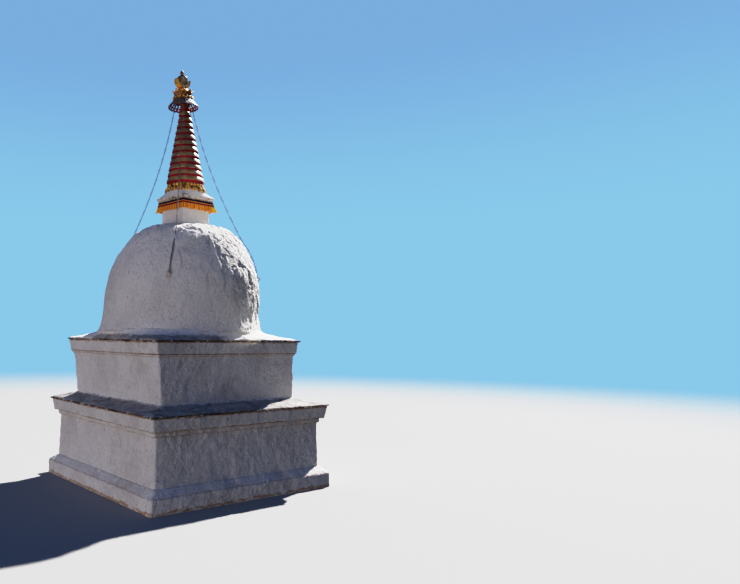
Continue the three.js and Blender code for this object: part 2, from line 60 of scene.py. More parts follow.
# Each level sits a little off the base's axis along this way, and is turned a little.
SHIFT_WAY = np.array((0.824, -0.567))
UPPER_FOOT_SHIFT, UPPER_HEAD_SHIFT, UPPER_CAP_SHIFT = -0.049, -0.086, -0.100
DOME_FOOT_SHIFT, DOME_HEAD_SHIFT = -0.124, 0.006
HARMIKA_SHIFT = -0.020
SPIRE_FOOT_SHIFT, SPIRE_HEAD_SHIFT = -0.030, -0.062
UMBRELLA_SHIFT, FINIAL_SHIFT, MOON_SHIFT, TIP_SHIFT = -0.096, -0.112, -0.121, -0.134
UPPER_TURN, HARMIKA_TURN = 1.0, 5.0
FIRST_CORNER = 225.0
SIDES = ("front", "right", "back", "left")

# Plan sizes of the terraces, and how their plaster, slates and ledges are laid.
STEP_SIDE, STEP_EDGE_Z, STEP_ROOM = 4.314, 0.280, 0.012
LOWER_WALL_SIDES = (3.950, 3.925)
LOWER_FILLET_SIDE = 4.005
LOWER_CORNICE_SIDES = (4.145, 4.225)
LOWER_CAP_SIDE, LOWER_SLABS = 4.291, 17
UPPER_WALL_SIDES = (3.286, 3.339, 3.375)
UPPER_CORNICE_SIDES = (3.475, 3.545)
UPPER_CAP_SIDE, UPPER_SLABS = 3.598, 15
UPPER_WAIST, CAVETTO_HEIGHT = 0.62, 0.075
PLASTER_STEP, PLASTER_CORNER = 0.019, 0.035
CORNICE_SLOPE, TUCK = 0.004, 0.02
SLATE_DEPTH, SLATE_GAP, SLATE_POINTS = 0.26, 0.003, 9
LEDGE_INSET, LEDGE_LIP, LEDGE_FILLET_SHARE = 0.040, 0.012, 0.22

# The dome is a squared-off half ellipse over a belly line, with a flared foot.
DOME_RADIUS, DOME_BELLY_Z, DOME_RISE = 1.662, 3.550, 2.000
DOME_SQUARENESS, DOME_FLARE = 2.3, 0.36
DOME_SHOULDER_Z, DOME_HEAD_RADIUS, DOME_TOP_RADIUS = 5.335, 0.560, 0.30
DOME_STEP = 0.0185
# Broad patches where it lies inside that shape, or outside it where the depth is negative:
# depth, bearing, height, half width in degrees, half height.
DOME_PATCHES = (
    (0.026, -34, 4.75, 32, 0.45),
    (-0.045, -84, 4.20, 28, 0.24),
    (0.030, -84, 4.90, 30, 0.26),
    (-0.048, -86, 3.75, 16, 0.50),
    (-0.040, -112, 4.95, 22, 0.22),
)

# The harmika and its valance.
NECK_FOOT_SIDE, NECK_SIDE, CORBEL_SIDE, CORBEL_HEIGHT = 0.765, 0.735, 0.800, 0.095
CORNICE_SIDE, CORNICE_FACE, HARMIKA_CORNER, HARMIKA_STEP = 0.900, 0.088, 0.014, 0.016
VALANCE_TOP_SIDE, VALANCE_FOOT_SIDE = 0.846, 0.924
VALANCE_THICK, VALANCE_PLEATS, VALANCE_HEM = 0.003, 15, 0.012
# The feet of its three bands as shares of its depth, and for each corner from the front left
# anticlockwise how far it flares and how strong its painted glow is, a yellow for sun shining through the
# cloth.
VALANCE_BANDS = (0.24, 0.30, 0.48)
VALANCE_FLARES = (0.018, 0.042, 0.024, 0.006)
VALANCE_PAINTED_GLOWS = (0.0, 1.06, 0.6, 1.0)

# The spire.
LOTUS_RADIUS, LOTUS_PETALS, LOTUS_CARVING = 0.452, 17, 0.036
SPIRE_BEADS, SPIRE_BEAD_INSET, SPIRE_BEAD_SIZE = 30, 0.076, (0.027, 0.033, 0.031)
RING_COUNT, RING_SIDES = 13, 96
FIRST_RING_RADIUS, LAST_RING_RADIUS, RING_DEPTH = 0.400, 0.101, 0.022
COLLAR_RADIUS = 0.100

# The umbrella and what stands on it.
UMBRELLA_RADIUS, UMBRELLA_CROWN_RADIUS, UMBRELLA_SHEET = 0.333, 0.215, 0.006
UMBRELLA_CELLS, HOLE_HALF_WIDTH, HOLE_RADIUS, HOLE_SIDES = 24, 0.016, 0.017, 8
SLOT_TOP, SLOT_FOOT_ABOVE_RIM, SLOT_MARGIN = 0.020, 0.058, 0.012
BEAD_RADIUS, FINIAL_BEADS, FINIAL_BEAD_SIZE = 0.235, 18, (0.038, 0.034, 0.034)
FINIAL_PETALS, FINIAL_TIP_RADIUS, FINIAL_TIP_Z, PETAL_THICK = 8, 0.240, 8.388, 0.007
CRESCENT_RADIUS, CRESCENT_BITE_RADIUS, CRESCENT_THICK = 0.178, 0.135, 0.090
CRESCENT_DEPTH, CRESCENT_FOOT, HORN_ANGLE = 0.150, 0.055, math.radians(8)
SUN_RADIUS, SUN_DEPTH, SUN_SIDES = 0.112, 0.095, 56

# The chain stays.
STAY_TOP_RADIUS, STAY_TOP_Z, STAY_MEET_Z, STAY_SAG = 0.182, 8.080, 5.050, 0.120
STAY_LIFT = 0.016
LINK_LENGTH, LINK_WIDTH, LINK_WIRE = 0.135, 0.030, 0.0054
ANCHOR_Z, ANCHOR_HEIGHT = 4.225, 0.090

# The light. The key's way is in degrees from +Y towards +X and degrees up.
KEY_AZIMUTH, KEY_ELEVATION, KEY_ENERGY, KEY_ANGLE = 72.0, 41.3, 13.0, 1.2
LAMP_DISTANCE, SPOT_DISTANCE, LAMP_AIM_Z = 58.0, 13.0, 4.0
WORLD_LOW, WORLD_HIGH = (0.047, 0.046, 0.050), (0.056, 0.118, 0.31)
FLOOR_COLOUR = (0.31, 0.31, 0.31)
SKY_LOW, SKY_HIGH = (0.25, 0.59, 1.00), (0.19, 0.42, 0.77)
# The tones that roll off, as (scene value, shown value).
ROLL_OFF = ((0.55, 0.55), (0.80, 0.76), (1.15, 0.87), (1.70, 0.925), (2.60, 0.965), (4.6, 1.0))

# Colours as albedo, from 0 to 1.
LIME = (0.82, 0.80, 0.78)
LIME_PAINTED_SUNLIGHT = (0.90, 0.89, 0.87)
LIME_OLD = (0.70, 0.67, 0.65)
LIME_DIRT_AND_SHADE = (0.46, 0.41, 0.37)
LIME_SOILED = (0.72, 0.64, 0.54)
MUD_BROWN = (0.22, 0.14, 0.09)
HOLE_BROWN = (0.05, 0.032, 0.022)
OCHRE_STAIN = (0.38, 0.19, 0.075)
RUST = (0.20, 0.09, 0.04)
MUD_GREY = (0.37, 0.36, 0.36)
MUD_DARK = (0.19, 0.172, 0.160)
SLATE_DARK = (0.028, 0.024, 0.022)
SLATE_WARM = (0.17, 0.10, 0.06)
NAVY = (0.003, 0.009, 0.026)
ORANGE = (1.0, 0.30, 0.030)
ORANGE_BRIGHT = (1.0, 0.44, 0.020)
ORANGE_FOLD_SHADE_AND_DUST = (0.50, 0.11, 0.04)
YELLOW_PAINTED_GLOW = (1.0, 0.66, 0.010)
MAROON = (0.16, 0.004, 0.016)
CRIMSON = (0.42, 0.008, 0.026)
CRIMSON_OLD = (0.16, 0.008, 0.014)
RING_GOLD = (0.36, 0.23, 0.070)
RING_BROWN = (0.12, 0.060, 0.024)
RING_PAINTED_HIGHLIGHT = (0.62, 0.57, 0.46)
GILT = (1.0, 0.50, 0.070)
GILT_WORN = (0.50, 0.24, 0.05)
GILT_DARK = (0.075, 0.028, 0.012)
TIN = (0.84, 0.82, 0.79)
TIN_PAINTED_SHADE = (0.055, 0.046, 0.026)
TIN_DIRT = (0.10, 0.09, 0.07)
UNDER_RED = (0.30, 0.012, 0.025)
COPPER_RED = (0.52, 0.19, 0.06)
COLLAR_RED_AND_PAINTED_SHADE = (0.34, 0.075, 0.035)
GREEN_GREY = (0.80, 0.70, 0.34)
IRON = (0.110, 0.125, 0.160)
IRON_RUST = (0.15, 0.110, 0.085)


def mix(low, high, share):
    return low + (high - low) * share


@functools.cache
def heights(node):
    """The lowest and highest level of a CAD node."""
    low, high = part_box(node)
    return low.z, high.z


# Noise, in numpy so that dense meshes stay quick, and seeded so that each run is the same.

def hashed(cells, seed):
    """A number from -1 to 1 for each whole-number cell."""
    mask = 0xFFFFFFFF
    mixed = (cells[..., 0] * 374761393 + cells[..., 1] * 668265263 + cells[..., 2] * 974634777) & mask
    mixed = (mixed + seed * 1274126177) & mask
    mixed = ((mixed ^ (mixed >> 13)) * 1274126177) & mask
    mixed = ((mixed ^ (mixed >> 15)) * 2246822519) & mask
    return ((mixed >> 8) & 0xFFFF) / 32767.5 - 1


def noise(points, size, seed=0):
    """Smooth noise from -1 to 1 whose lumps have about this size, which may differ along each axis."""
    scaled = points / np.array(size)
    cell = np.floor(scaled).astype(np.int64)
    part = scaled - cell
    part = part ** 3 * (part * (part * 6 - 15) + 10)
    total = np.zeros(points.shape[:-1])
    for corner in np.ndindex(2, 2, 2):
        weight = np.prod(np.where(corner, part, 1 - part), axis=-1)
        total += weight * hashed(cell + np.array(corner), seed)
    return total


def rough(points, size, octaves, seed=0):
    """Noise at ever finer sizes, each half as strong as the last."""
    size = np.array(size)
    return sum(noise(points, size / 2 ** k, seed + 7 * k) / 2 ** k for k in range(octaves))


def drifted(points, size, scale, reach, seed):
    """Points moved about by noise, so that what is drawn over them wanders."""
    drift = np.stack([noise(points, size * scale, seed + k) for k in (1, 2, 3)], axis=-1)
    return points + drift * size * reach


def laps(points, size, steepness, seed):
    """Patches with steep wandering edges, from -1 to 1, as hand-laid plaster has where coats lap."""
    size = np.array(size)
    return np.tanh(steepness * noise(drifted(points, size, 0.8, 0.45, seed), size, seed))


def ridges(points, size, width, seed):
    """Thin broken lines along wandering paths, from 0 to 1, as a trowel's edge leaves."""
    line = np.exp(-(noise(drifted(points, size, 0.6, 0.3, seed), size, seed) / width) ** 2)
    return line * np.clip(2.5 * noise(points, size * 1.2, seed + 5) + 0.3, 0, 1)


# Outlines and loops of points.

def turns(count):
    """Evenly spaced angles once round."""
    return math.tau * np.arange(count) / count


def level_way(angle):
    """The level direction at an angle."""
    return np.array((math.cos(angle), math.sin(angle)))


def lengths_along(line):
    """How far along a line each of its points is."""
    return np.r_[0, np.cumsum(np.linalg.norm(np.diff(line, axis=0), axis=1))]


def points_at(line, lengths, at):
    """A line's values at some lengths along it."""
    return np.column_stack([np.interp(at, lengths, column) for column in line.T])


def resampled(line, step):
    """A profile of (size across, z, shift) rows at even steps along its length."""
    line = np.array(line, float)
    lengths = lengths_along(line[:, :2] * (0.5, 1))
    count = max(3, int(round(lengths[-1] / step)) + 1)
    return points_at(line, lengths, np.linspace(0, lengths[-1], count))


def softened(line, times=1):
    """Rounds a profile's corners and keeps its ends."""
    for _ in range(times):
        inner = (line[:-2] + 2 * line[1:-1] + line[2:]) / 4
        line = np.concatenate((line[:1], inner, line[-1:]))
    return line


def rounded_square(side, corner, count, turn=0.0):
    """Evenly spaced points round a square in plan, from its front left corner, anticlockwise."""
    outline = []
    for k in range(5):
        angle = math.radians(FIRST_CORNER + turn + 90 * k)
        centre = (side / 2 - corner) * math.sqrt(2) * level_way(angle)
        bends = np.linspace(0 if k == 0 else -45, 0 if k == 4 else 45, 5 if k in (0, 4) else 9)
        outline += [centre + corner * level_way(angle + bend) for bend in np.radians(bends)]
    outline = np.array(outline)
    lengths = lengths_along(outline)
    return points_at(outline, lengths, np.linspace(0, lengths[-1], count, endpoint=False))


def circle(radius, count, start=FIRST_CORNER + UPPER_TURN):
    """Points round a circle in plan, anticlockwise from an angle at the front left."""
    angles = math.radians(start) + turns(count)
    return radius * np.column_stack((np.cos(angles), np.sin(angles)))


def level(outline, z, shift=0.0):
    """A plan outline at its height, moved by its level's shift."""
    return np.column_stack((outline + SHIFT_WAY * shift, np.full(len(outline), z)))


def square_rows(levels, turn=0.0, shift=0.0, step=PLASTER_STEP, corner=PLASTER_CORNER, softness=1):
    """Loops of points up a square mass, from (side, z) rows that may each name a shift of their own."""
    profile = softened(resampled([(*row, shift)[:3] for row in levels], step), softness)
    count = 4 * int(round(profile[:, 0].max() / step))
    return np.array([level(rounded_square(side, corner, count, turn), z, own)
                     for side, z, own in profile])


def round_rows(levels, count, shift=0.0):
    """Loops of points up a turned shape, from (radius, z) rows that may each name their own shift."""
    return np.array([level(circle(radius, count), z, own)
                     for radius, z, own in [(*row, shift)[:3] for row in levels]])


def outward(rows):
    """The way out of a grid of points at each of them. Its loops close on themselves."""
    along = np.roll(rows, -1, 1) - np.roll(rows, 1, 1)
    return unit(np.cross(along, np.gradient(rows, axis=0)))


def unit(ways):
    """Ways of length 1."""
    return ways / np.maximum(np.linalg.norm(ways, axis=-1, keepdims=True), 1e-12)


def pushed(rows, depth):
    """Loops of points moved outwards by a depth at each point."""
    return rows + outward(rows) * depth[..., None]


# Meshes. A part is a pair of points and faces, and a piece is made of one or more of them.

def stack(rows, ends="capped"):
    """Stacked loops. A fan closes each capped end, and the last loop of a ring joins its first."""
    levels, sides = rows.shape[:2]
    total, points = levels * sides, rows.reshape(-1, 3)
    low = np.arange(total if ends == "ring" else total - sides)
    far = low - low % sides + (low + 1) % sides
    faces = np.column_stack((low, far, (far + sides) % total, (low + sides) % total)).tolist()
    if ends == "capped":
        points = np.vstack((points, rows[0].mean(0), rows[-1].mean(0)))
        k = np.arange(sides)
        far, top = (k + 1) % sides, total - sides
        faces += np.column_stack((np.full(sides, total), far, k)).tolist()
        faces += np.column_stack((np.full(sides, total + 1), top + k, top + far)).tolist()
    return points, faces


def open_grid(grid):
    """Faces over an open grid of points."""
    at = np.arange(grid[..., 0].size).reshape(grid.shape[:2])
    corners = (at[:-1, :-1], at[:-1, 1:], at[1:, 1:], at[1:, :-1])
    return grid.reshape(-1, 3), np.column_stack([corner.ravel() for corner in corners]).tolist()


def shell(grid, thickness):
    """A closed sheet on an open grid of points, whose outside is to the right of its columns."""
    out = unit(np.cross(np.gradient(grid, axis=1), np.gradient(grid, axis=0))) * thickness / 2
    points = np.concatenate((grid + out, grid - out)).reshape(-1, 3)
    over = np.array(open_grid(grid)[1])
    under = grid[..., 0].size
    at = np.arange(under).reshape(grid.shape[:2])
    rim = np.concatenate((at[0], at[1:, -1], at[-1, -2::-1], at[-2:0:-1, 0]))
    following = np.roll(rim, -1)
    edge = np.column_stack((rim, rim + under, following + under, following))
    return points, np.concatenate((over, over[:, ::-1] + under, edge)).tolist()


def tube(path, radius, sides, closed=False):
    """A round bar along a line of points."""
    path = np.array(path, float)
    ways = unit(np.roll(path, -1, 0) - np.roll(path, 1, 0) if closed else np.gradient(path, axis=0))
    side = np.cross(ways[0], (0.31, 0.52, 0.79))
    rows = []
    for point, way in zip(path, ways):
        side = unit(side - way * side.dot(way))
        up = np.cross(way, side)
        ring = np.outer(np.cos(turns(sides)), side) + np.outer(np.sin(turns(sides)), up)
        rows.append(point + radius * ring)
    return stack(np.array(rows), "ring" if closed else "capped")


def ellipsoid(centre, radii, sides=14, levels=9):
    """A ball with its own radius along each axis."""
    rows = [level(circle(math.cos(tilt), sides, start=0), math.sin(tilt))
            for tilt in np.linspace(-math.pi / 2, math.pi / 2, levels + 2)[1:-1]]
    return stack(np.array(rows) * np.array(radii) + np.array(centre))


def placed(part, angle, shift):
    """A part turned about the vertical and moved by its level's shift."""
    points, faces = part
    c, s = level_way(angle)
    turned = points @ np.array(((c, s, 0), (-s, c, 0), (0, 0, 1)))
    return turned + np.array((*(SHIFT_WAY * shift), 0)), faces


def joined(parts):
    """One list of points and faces from many parts."""
    points, faces, count = [], [], 0
    for some, theirs in parts:
        points.append(some)
        faces += [[corner + count for corner in face] for face in theirs]
        count += len(some)
    return np.vstack(points), faces


def add_object(name, data):
    made = bpy.data.objects.new(name, data)
    bpy.context.scene.collection.objects.link(made)
    return made


def add_mesh(name, part, finishes, smooth=True):
    """An object made of points and faces, with its finishes."""
    points, faces = part
    mesh = bpy.data.meshes.new(name)
    mesh.from_pydata(points.tolist(), [], faces)
    mesh.polygons.foreach_set("use_smooth", [smooth] * len(faces))
    for finish in finishes:
        mesh.materials.append(finish)
    return add_object(name, mesh)


def add_piece(name, part, finishes, slot, node, smooth=True, zones=None, **attributes):
    """Makes a piece with its attributes, puts it under the root body and hides the CAD node that it
    stands for.
    """
    piece = add_mesh(name, part, finishes, smooth)
    mesh = piece.data
    if zones is not None:
        mesh.polygons.foreach_set("material_index", zones)
    for key, values in attributes.items():
        padded = np.zeros((len(part[0]), *values.shape[1:]), np.float32)
        padded[: len(values)] = values
        kind, field = ("FLOAT_VECTOR", "vector") if values.ndim == 2 else ("FLOAT", "value")
        mesh.attributes.new(key, kind, "POINT").data.foreach_set(field, padded.ravel())
    mesh.update()
    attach(piece, "root")
    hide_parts(node)
    return piece


# Finishes.

class Finish:
    """A procedural material: a Principled shader, the nodes that feed it, and its colour so far."""

    def __init__(self, name, roughness, metallic=0.0, specular=0.5):
        self.material = bpy.data.materials.new(name)
        self.material.use_nodes = True
        self.tree = self.material.node_tree
        self.shader = self.tree.nodes["Principled BSDF"]
        self.shader.inputs["Roughness"].default_value = roughness
        self.shader.inputs["Metallic"].default_value = metallic
        self.shader.inputs["Specular IOR Level"].default_value = specular
        self.place = self.node("TexCoord").outputs["Object"]
        self.height = self.node("SeparateXYZ", Vector=self.place).outputs["Z"]
        self.coat = None

    def node(self, kind, settings=None, feeds=None, **inputs):
        """A shader node with its settings, fed by the number or by the name of its inputs."""
        made = self.tree.nodes.new("ShaderNode" + kind)
        for key, value in (settings or {}).items():
            setattr(made, key, value)
        for key, value in {**(feeds or {}), **inputs}.items():
            self.plug(made.inputs[key if isinstance(key, int) else key.replace("_", " ")], value)
        return made

    def plug(self, socket, value):
        if isinstance(value, bpy.types.NodeSocket):
            self.tree.links.new(value, socket)
        elif isinstance(value, tuple) and len(value) == 3 and socket.type == "RGBA":
            socket.default_value = (*value, 1.0)
        else:
            socket.default_value = value

    def stretched(self, stretch):
        return self.node("Mapping", Vector=self.place, Scale=stretch).outputs["Vector"]

    def noise(self, scale, detail=4.0, stretch=(1, 1, 1), distortion=0.0, roughness=0.55):
        return self.node("TexNoise", Vector=self.stretched(stretch), Scale=scale, Detail=detail,
                         Roughness=roughness, Distortion=distortion).outputs["Fac"]

    def crack_lines(self, scale, wobble, stretch):
        """How far it is to the nearest edge between cells that are shaken out of shape."""
        place = self.stretched(stretch)
        shaken = self.node("TexNoise", Vector=place, Scale=scale * 1.7, Detail=3.0).outputs["Color"]
        scaled = self.node("VectorMath", {"operation": "SCALE"}, {0: shaken}, Scale=wobble)
        added = self.node("VectorMath", {"operation": "ADD"}, {0: place, 1: scaled.outputs[0]})
        return self.node("TexVoronoi", {"feature": "DISTANCE_TO_EDGE"}, Vector=added.outputs[0],
                         Scale=scale).outputs["Distance"]

    def attribute(self, name, output="Fac"):
        return self.node("Attribute", {"attribute_name": name}).outputs[output]

    def ragged(self, name, scale, detail):
        """A mesh attribute with noise added, so that its edges fray."""
        frayed = self.math("SUBTRACT", self.noise(scale, detail), 0.5)
        return self.math("ADD", self.attribute(name), frayed)

    def span(self, value, low, high, most=1.0, least=0.0):
        made = self.node("MapRange", {"interpolation_type": "SMOOTHSTEP"}, Value=value,
                         From_Min=low, From_Max=high, To_Min=least, To_Max=most)
        return made.outputs["Result"]

    def math(self, operation, first, second=0.0):
        return self.node("Math", {"operation": operation}, {0: first, 1: second}).outputs[0]

    def mix(self, share, first, second):
        return self.node("Mix", {"data_type": "RGBA"}, {0: share, 6: first, 7: second}).outputs[2]

    def steps(self, value, *stops, sharp=False):
        """A colour ramp through (position, colour) stops."""
        made = self.node("ValToRGB", Fac=value)
        ramp = made.color_ramp
        ramp.interpolation = "CONSTANT" if sharp else "LINEAR"
        while len(ramp.elements) < len(stops):
            ramp.elements.new(1.0)
        for element, (position, colour) in zip(ramp.elements, stops):
            element.position = position
            element.color = (*colour, 1.0)
        return made.outputs["Color"]

    def band(self, z, half):
        """A mask that is 1 near a height and wavers along its edge."""
        moved = self.math("MULTIPLY", self.math("SUBTRACT", self.noise(9.0), 0.5), half * 2.6)
        away = self.math("ABSOLUTE", self.math("ADD", self.math("SUBTRACT", self.height, z), moved))
        return self.span(away, half, 0.0)

    def ground(self, value, *stops):
        """The colour that everything else is laid over."""
        self.coat = self.steps(value, *stops)

    def over(self, tint, mask, share=1.0):
        """Lays a tint over the colour so far where a mask is high."""
        if share != 1.0:
            mask = self.math("MULTIPLY", mask, share)
        self.coat = self.mix(mask, self.coat, tint)

    def stain(self, tint, value, low, high, most=1.0):
        """Lays a tint over the colour so far as a value goes from low to high."""
        self.over(tint, self.span(value, low, high, most))

    def done(self, *bumps):
        """The material, with its colour and its bumps of (height, depth in metres) plugged in."""
        self.plug(self.shader.inputs["Base Color"], self.coat)
        normal = None
        for height, depth in bumps:
            made = self.node("Bump", Height=height, Distance=depth)
            if normal is not None:
                self.tree.links.new(normal, made.inputs["Normal"])
            normal = made.outputs["Normal"]
        self.tree.links.new(normal, self.shader.inputs["Normal"])
        return self.material


def whitewash(name, stains=(), dirt=0.5, coarse=0.019, lie=False, soiled=False):
    """Old limewash on mud plaster. Stains are (height, half width, strength) lines of ochre.

    Where it lies along the dome its strokes follow the dome, with painted shade in their hollows, it is
    painted lighter on the sunny side as painted sunlight and rougher there, and it is rusty under the
    stays.
    """
    paint = Finish(name, roughness=0.93, specular=0.15)
    if lie:
        paint.place = paint.attribute("lie", "Vector")
    paint.ground(paint.noise(1.3, 6, roughness=0.6), (0.34, LIME_OLD), (0.56, LIME))
    # Darker where the relief lies inward.
    paint.stain(LIME_DIRT_AND_SHADE, paint.attribute("relief"), 0.0, -0.9, 0.5)
    if soiled:
        paint.stain(LIME_SOILED, paint.ragged("soiled", 9.0, 6), 0.15, 0.75, 0.65)
        holes = paint.span(paint.noise(12.0, 3, roughness=0.6), 0.585, 0.61)
        paint.over(HOLE_BROWN, holes, paint.attribute("soiled"))
    grain = paint.noise(22.0, 7, roughness=0.7)
    paint.stain(LIME_DIRT_AND_SHADE, paint.noise(16.0, 5, stretch=(1, 1, 0.16)), 0.56, 0.78, dirt * 0.5)
    paint.stain(LIME_DIRT_AND_SHADE, paint.noise(3.6, 8, roughness=0.75), 0.54, 0.72, dirt * 0.6)
    paint.stain(LIME_DIRT_AND_SHADE, grain, 0.47, 0.30, dirt)
    pits = paint.span(paint.noise(30.0, 3), 0.665, 0.70)
    marks = paint.span(paint.noise(11.0, 3, stretch=(1.4, 1.4, 0.55), distortion=0.8), 0.70, 0.74)
    spots = paint.math("MAXIMUM", pits, marks)
    paint.over(MUD_BROWN, spots, 0.65)
    # Dark cracks, which also stand as painted shade under the plaster's ridges.
    lines = paint.span(paint.crack_lines(4.2, wobble=0.55, stretch=(1, 1, 0.8)), 0.040, 0.0)
    patches = paint.span(paint.noise(4.0, 4, roughness=0.65), 0.47, 0.60)
    paint.over(LIME_DIRT_AND_SHADE, paint.math("MULTIPLY", lines, patches), 0.5)
    for z, half, strength in stains:
        broken = paint.span(paint.noise(3.4, 7, roughness=0.7), 0.34, 0.48)
        line = paint.math("MULTIPLY", paint.band(z, half), broken)
        paint.over(OCHRE_STAIN, paint.math("MULTIPLY", line, strength))
    if lie:
        paint.over(RUST, paint.attribute("rust"))
        laid = paint.noise(15.0, 5, stretch=(1, 1, 0.55), distortion=1.0)
        # Painted sunlight: the dome's limewash is lighter on its sunny side, where its strokes are also
        # rougher.
        fresh = paint.span(paint.attribute("sunny"), 0.1, 1.0, least=0.12)
        paint.over(LIME_PAINTED_SUNLIGHT, fresh, 0.5)
        # Painted shade in the hollows of the dome's strokes.
        paint.over(LIME_DIRT_AND_SHADE, paint.span(laid, 0.39, 0.33), 0.5)
        strokes, stroke_depth = paint.math("MULTIPLY", paint.span(laid, 0.45, 0.54), fresh), 0.028
    else:
        laid = paint.noise(8.0, 6, stretch=(1, 1, 0.9), distortion=1.3)
        strokes, stroke_depth = paint.math("MULTIPLY", 0.6, paint.span(laid, 0.45, 0.56)), 0.009
    return paint.done((paint.noise(13.0, 7, roughness=0.68), coarse), (strokes, stroke_depth),
                      (grain, coarse / 2), (paint.math("SUBTRACT", 1.0, spots), 0.008))


@functools.cache
def mud():
    """The ledges' dark mud, limewashed where its lime attribute is high and in scattered patches; on the
    upper ledge that attribute also holds painted light and shadow.
    """
    earth = Finish("ledge_mud", roughness=0.96, specular=0.1)
    earth.ground(earth.noise(4.5, 7, roughness=0.7), (0.38, MUD_DARK), (0.58, MUD_GREY))
    ragged = earth.math("SUBTRACT", earth.noise(11.0, 8, roughness=0.75), 0.5)
    lime = earth.math("ADD", earth.attribute("splash"), earth.math("MULTIPLY", ragged, 2.0))
    earth.stain(LIME, lime, 0.30, 0.86)
    return earth.done((earth.noise(16.0, 7, roughness=0.7), 0.018), (earth.noise(60.0, 4), 0.005))


@functools.cache
def slate():
    """Dark slabs with flecks of lime."""
    stone = Finish("slate", roughness=0.85, specular=0.3)
    stone.ground(stone.noise(5.0, 6), (0.35, SLATE_DARK), (0.62, SLATE_WARM))
    stone.stain(LIME_OLD, stone.noise(9.0, 5, stretch=(1, 1, 0.5)), 0.56, 0.63, 0.85)
    return stone.done((stone.noise(30.0, 6, stretch=(1, 1, 5)), 0.006))


def cloth():
    """The valance: navy, orange and maroon bands over a pleated orange frill, with painted shade in its
    pleats and a yellow painted glow at some corners.
    """
    stuff = Finish("valance_cloth", roughness=0.9, specular=0.1)
    down = stuff.attribute("down")
    navy_foot, orange_foot, maroon_foot = VALANCE_BANDS
    bands = stuff.steps(down, (0.0, NAVY), (navy_foot, ORANGE), (orange_foot, MAROON),
                        (maroon_foot, ORANGE), sharp=True)
    stuff.ground(stuff.noise(9.0, 4), (0.35, ORANGE), (0.70, ORANGE_BRIGHT))
    # Painted shade, with dust, in the pleats' valleys.
    stuff.stain(ORANGE_FOLD_SHADE_AND_DUST, stuff.attribute("fold"), 0.30, -0.70, 0.95)
    # Painted glow: yellow towards the corners where the sun shines through the cloth.
    stuff.stain(YELLOW_PAINTED_GLOW, stuff.attribute("end"), 0.86, 0.95)
    stuff.stain(ORANGE_BRIGHT, down, 0.90, 0.97, 0.8)
    stuff.coat = stuff.mix(stuff.span(down, maroon_foot - 0.01, maroon_foot + 0.01), bands, stuff.coat)
    stuff.stain(LIME_DIRT_AND_SHADE, stuff.noise(5.0, 6), 0.6, 0.8, 0.25)
    return stuff.done((stuff.math("ADD", stuff.noise(420.0, 1), stuff.noise(90.0, 3)), 0.0012))


def flaking_paint(name, fresh, old, roughness=0.6, metallic=0.0, specular=0.4, painted_highlight=None):
    """Weathered paint that has faded in patches and chipped in small spots, and may pale towards the sun
    as a painted highlight.
    """
    coat = Finish(name, roughness, metallic, specular)
    coat.ground(coat.noise(7.0, 6, stretch=(1, 1, 0.8)), (0.34, old), (0.60, fresh))
    coat.stain(old, coat.noise(24.0, 4, stretch=(1, 1, 0.15)), 0.56, 0.75, 0.5)
    # Painted highlight: the paint pales towards the sun.
    if painted_highlight:
        coat.stain(painted_highlight, coat.ragged("sunny", 24.0, 4), 0.55, 1.15)
    spots = coat.span(coat.noise(40.0, 4), 0.66, 0.72, 0.8)
    coat.over(MUD_BROWN, spots)
    return coat.done((coat.noise(30.0, 5), 0.004), (coat.math("SUBTRACT", 1.0, spots), 0.002))


def iron():
    metal = Finish("iron", roughness=0.7, metallic=0.6, specular=0.4)
    metal.ground(metal.noise(30.0, 5), (0.42, IRON), (0.62, IRON_RUST))
    return metal.done((metal.noise(180.0, 4), 0.0015))


def gilt_clay():
    """Ochre-gold paint on moulded clay, brown in its hollows."""
    clay = Finish("gilt_clay", roughness=0.55, metallic=0.15, specular=0.3)
    clay.ground(clay.noise(15.0, 5, roughness=0.6), (0.46, GILT_DARK), (0.50, GILT))
    clay.stain(GILT_DARK, clay.attribute("relief"), 0.72, 0.10, 0.98)
    clay.over(LIME_OLD, clay.attribute("bare"))
    return clay.done((clay.noise(38.0, 4), 0.004))


def petal_copper():
    """Red-brown petals with gold along their upper edges."""
    skin = Finish("petal_copper", roughness=0.55, metallic=0.2, specular=0.3)
    skin.ground(skin.noise(14.0, 5), (0.36, GILT_DARK), (0.58, COPPER_RED))
    skin.stain(GILT, skin.ragged("edge", 26.0, 4), 0.35, 0.75)
    return skin.done((skin.noise(38.0, 4), 0.004))


def sooty_tin():
    """Pale tin, darkened on the side away from the sun as painted shade."""
    skin = Finish("pale_metal", roughness=0.5, specular=0.3)
    skin.ground(skin.noise(9.0, 6), (0.36, TIN_DIRT), (0.54, TIN))
    skin.stain(TIN_PAINTED_SHADE, skin.ragged("soot", 20.0, 5), 0.30, 0.80, 0.93)
    return skin.done((skin.noise(40.0, 4), 0.003))


# Masonry.

def wall_relief(points):
    """Plaster laid on by hand: laps of its coats, a trowel's broken ridges and a coarse grain."""
    sway = 0.007 * rough(points, 0.9, 2, seed=3)
    coats = 0.0040 * laps(points, 0.40, 9.0, seed=11) + 0.0030 * laps(points, 0.17, 7.0, seed=17)
    lines = 0.0070 * ridges(points, 0.32, 0.14, seed=71) + 0.0036 * ridges(points, 0.17, 0.20, seed=83)
    return sway + coats + lines + 0.0032 * rough(points, 0.075, 2, seed=19)


def step_relief(points):
    """The walls' relief, which dies away towards the ground."""
    return wall_relief(points) * np.clip((points[..., 2] - heights("base_step")[0]) / 0.05, 0, 1)


def neck_relief(points):
    return 0.6 * wall_relief(points)


def cornice_relief(points):
    """Rough plaster with small holes where stones have come away."""
    holes = np.clip(3.0 * noise(points, 0.055, 61) - 1.3, 0, 1)
    return 0.6 * wall_relief(points) + 0.005 * rough(points, 0.07, 2, seed=62) - 0.014 * holes


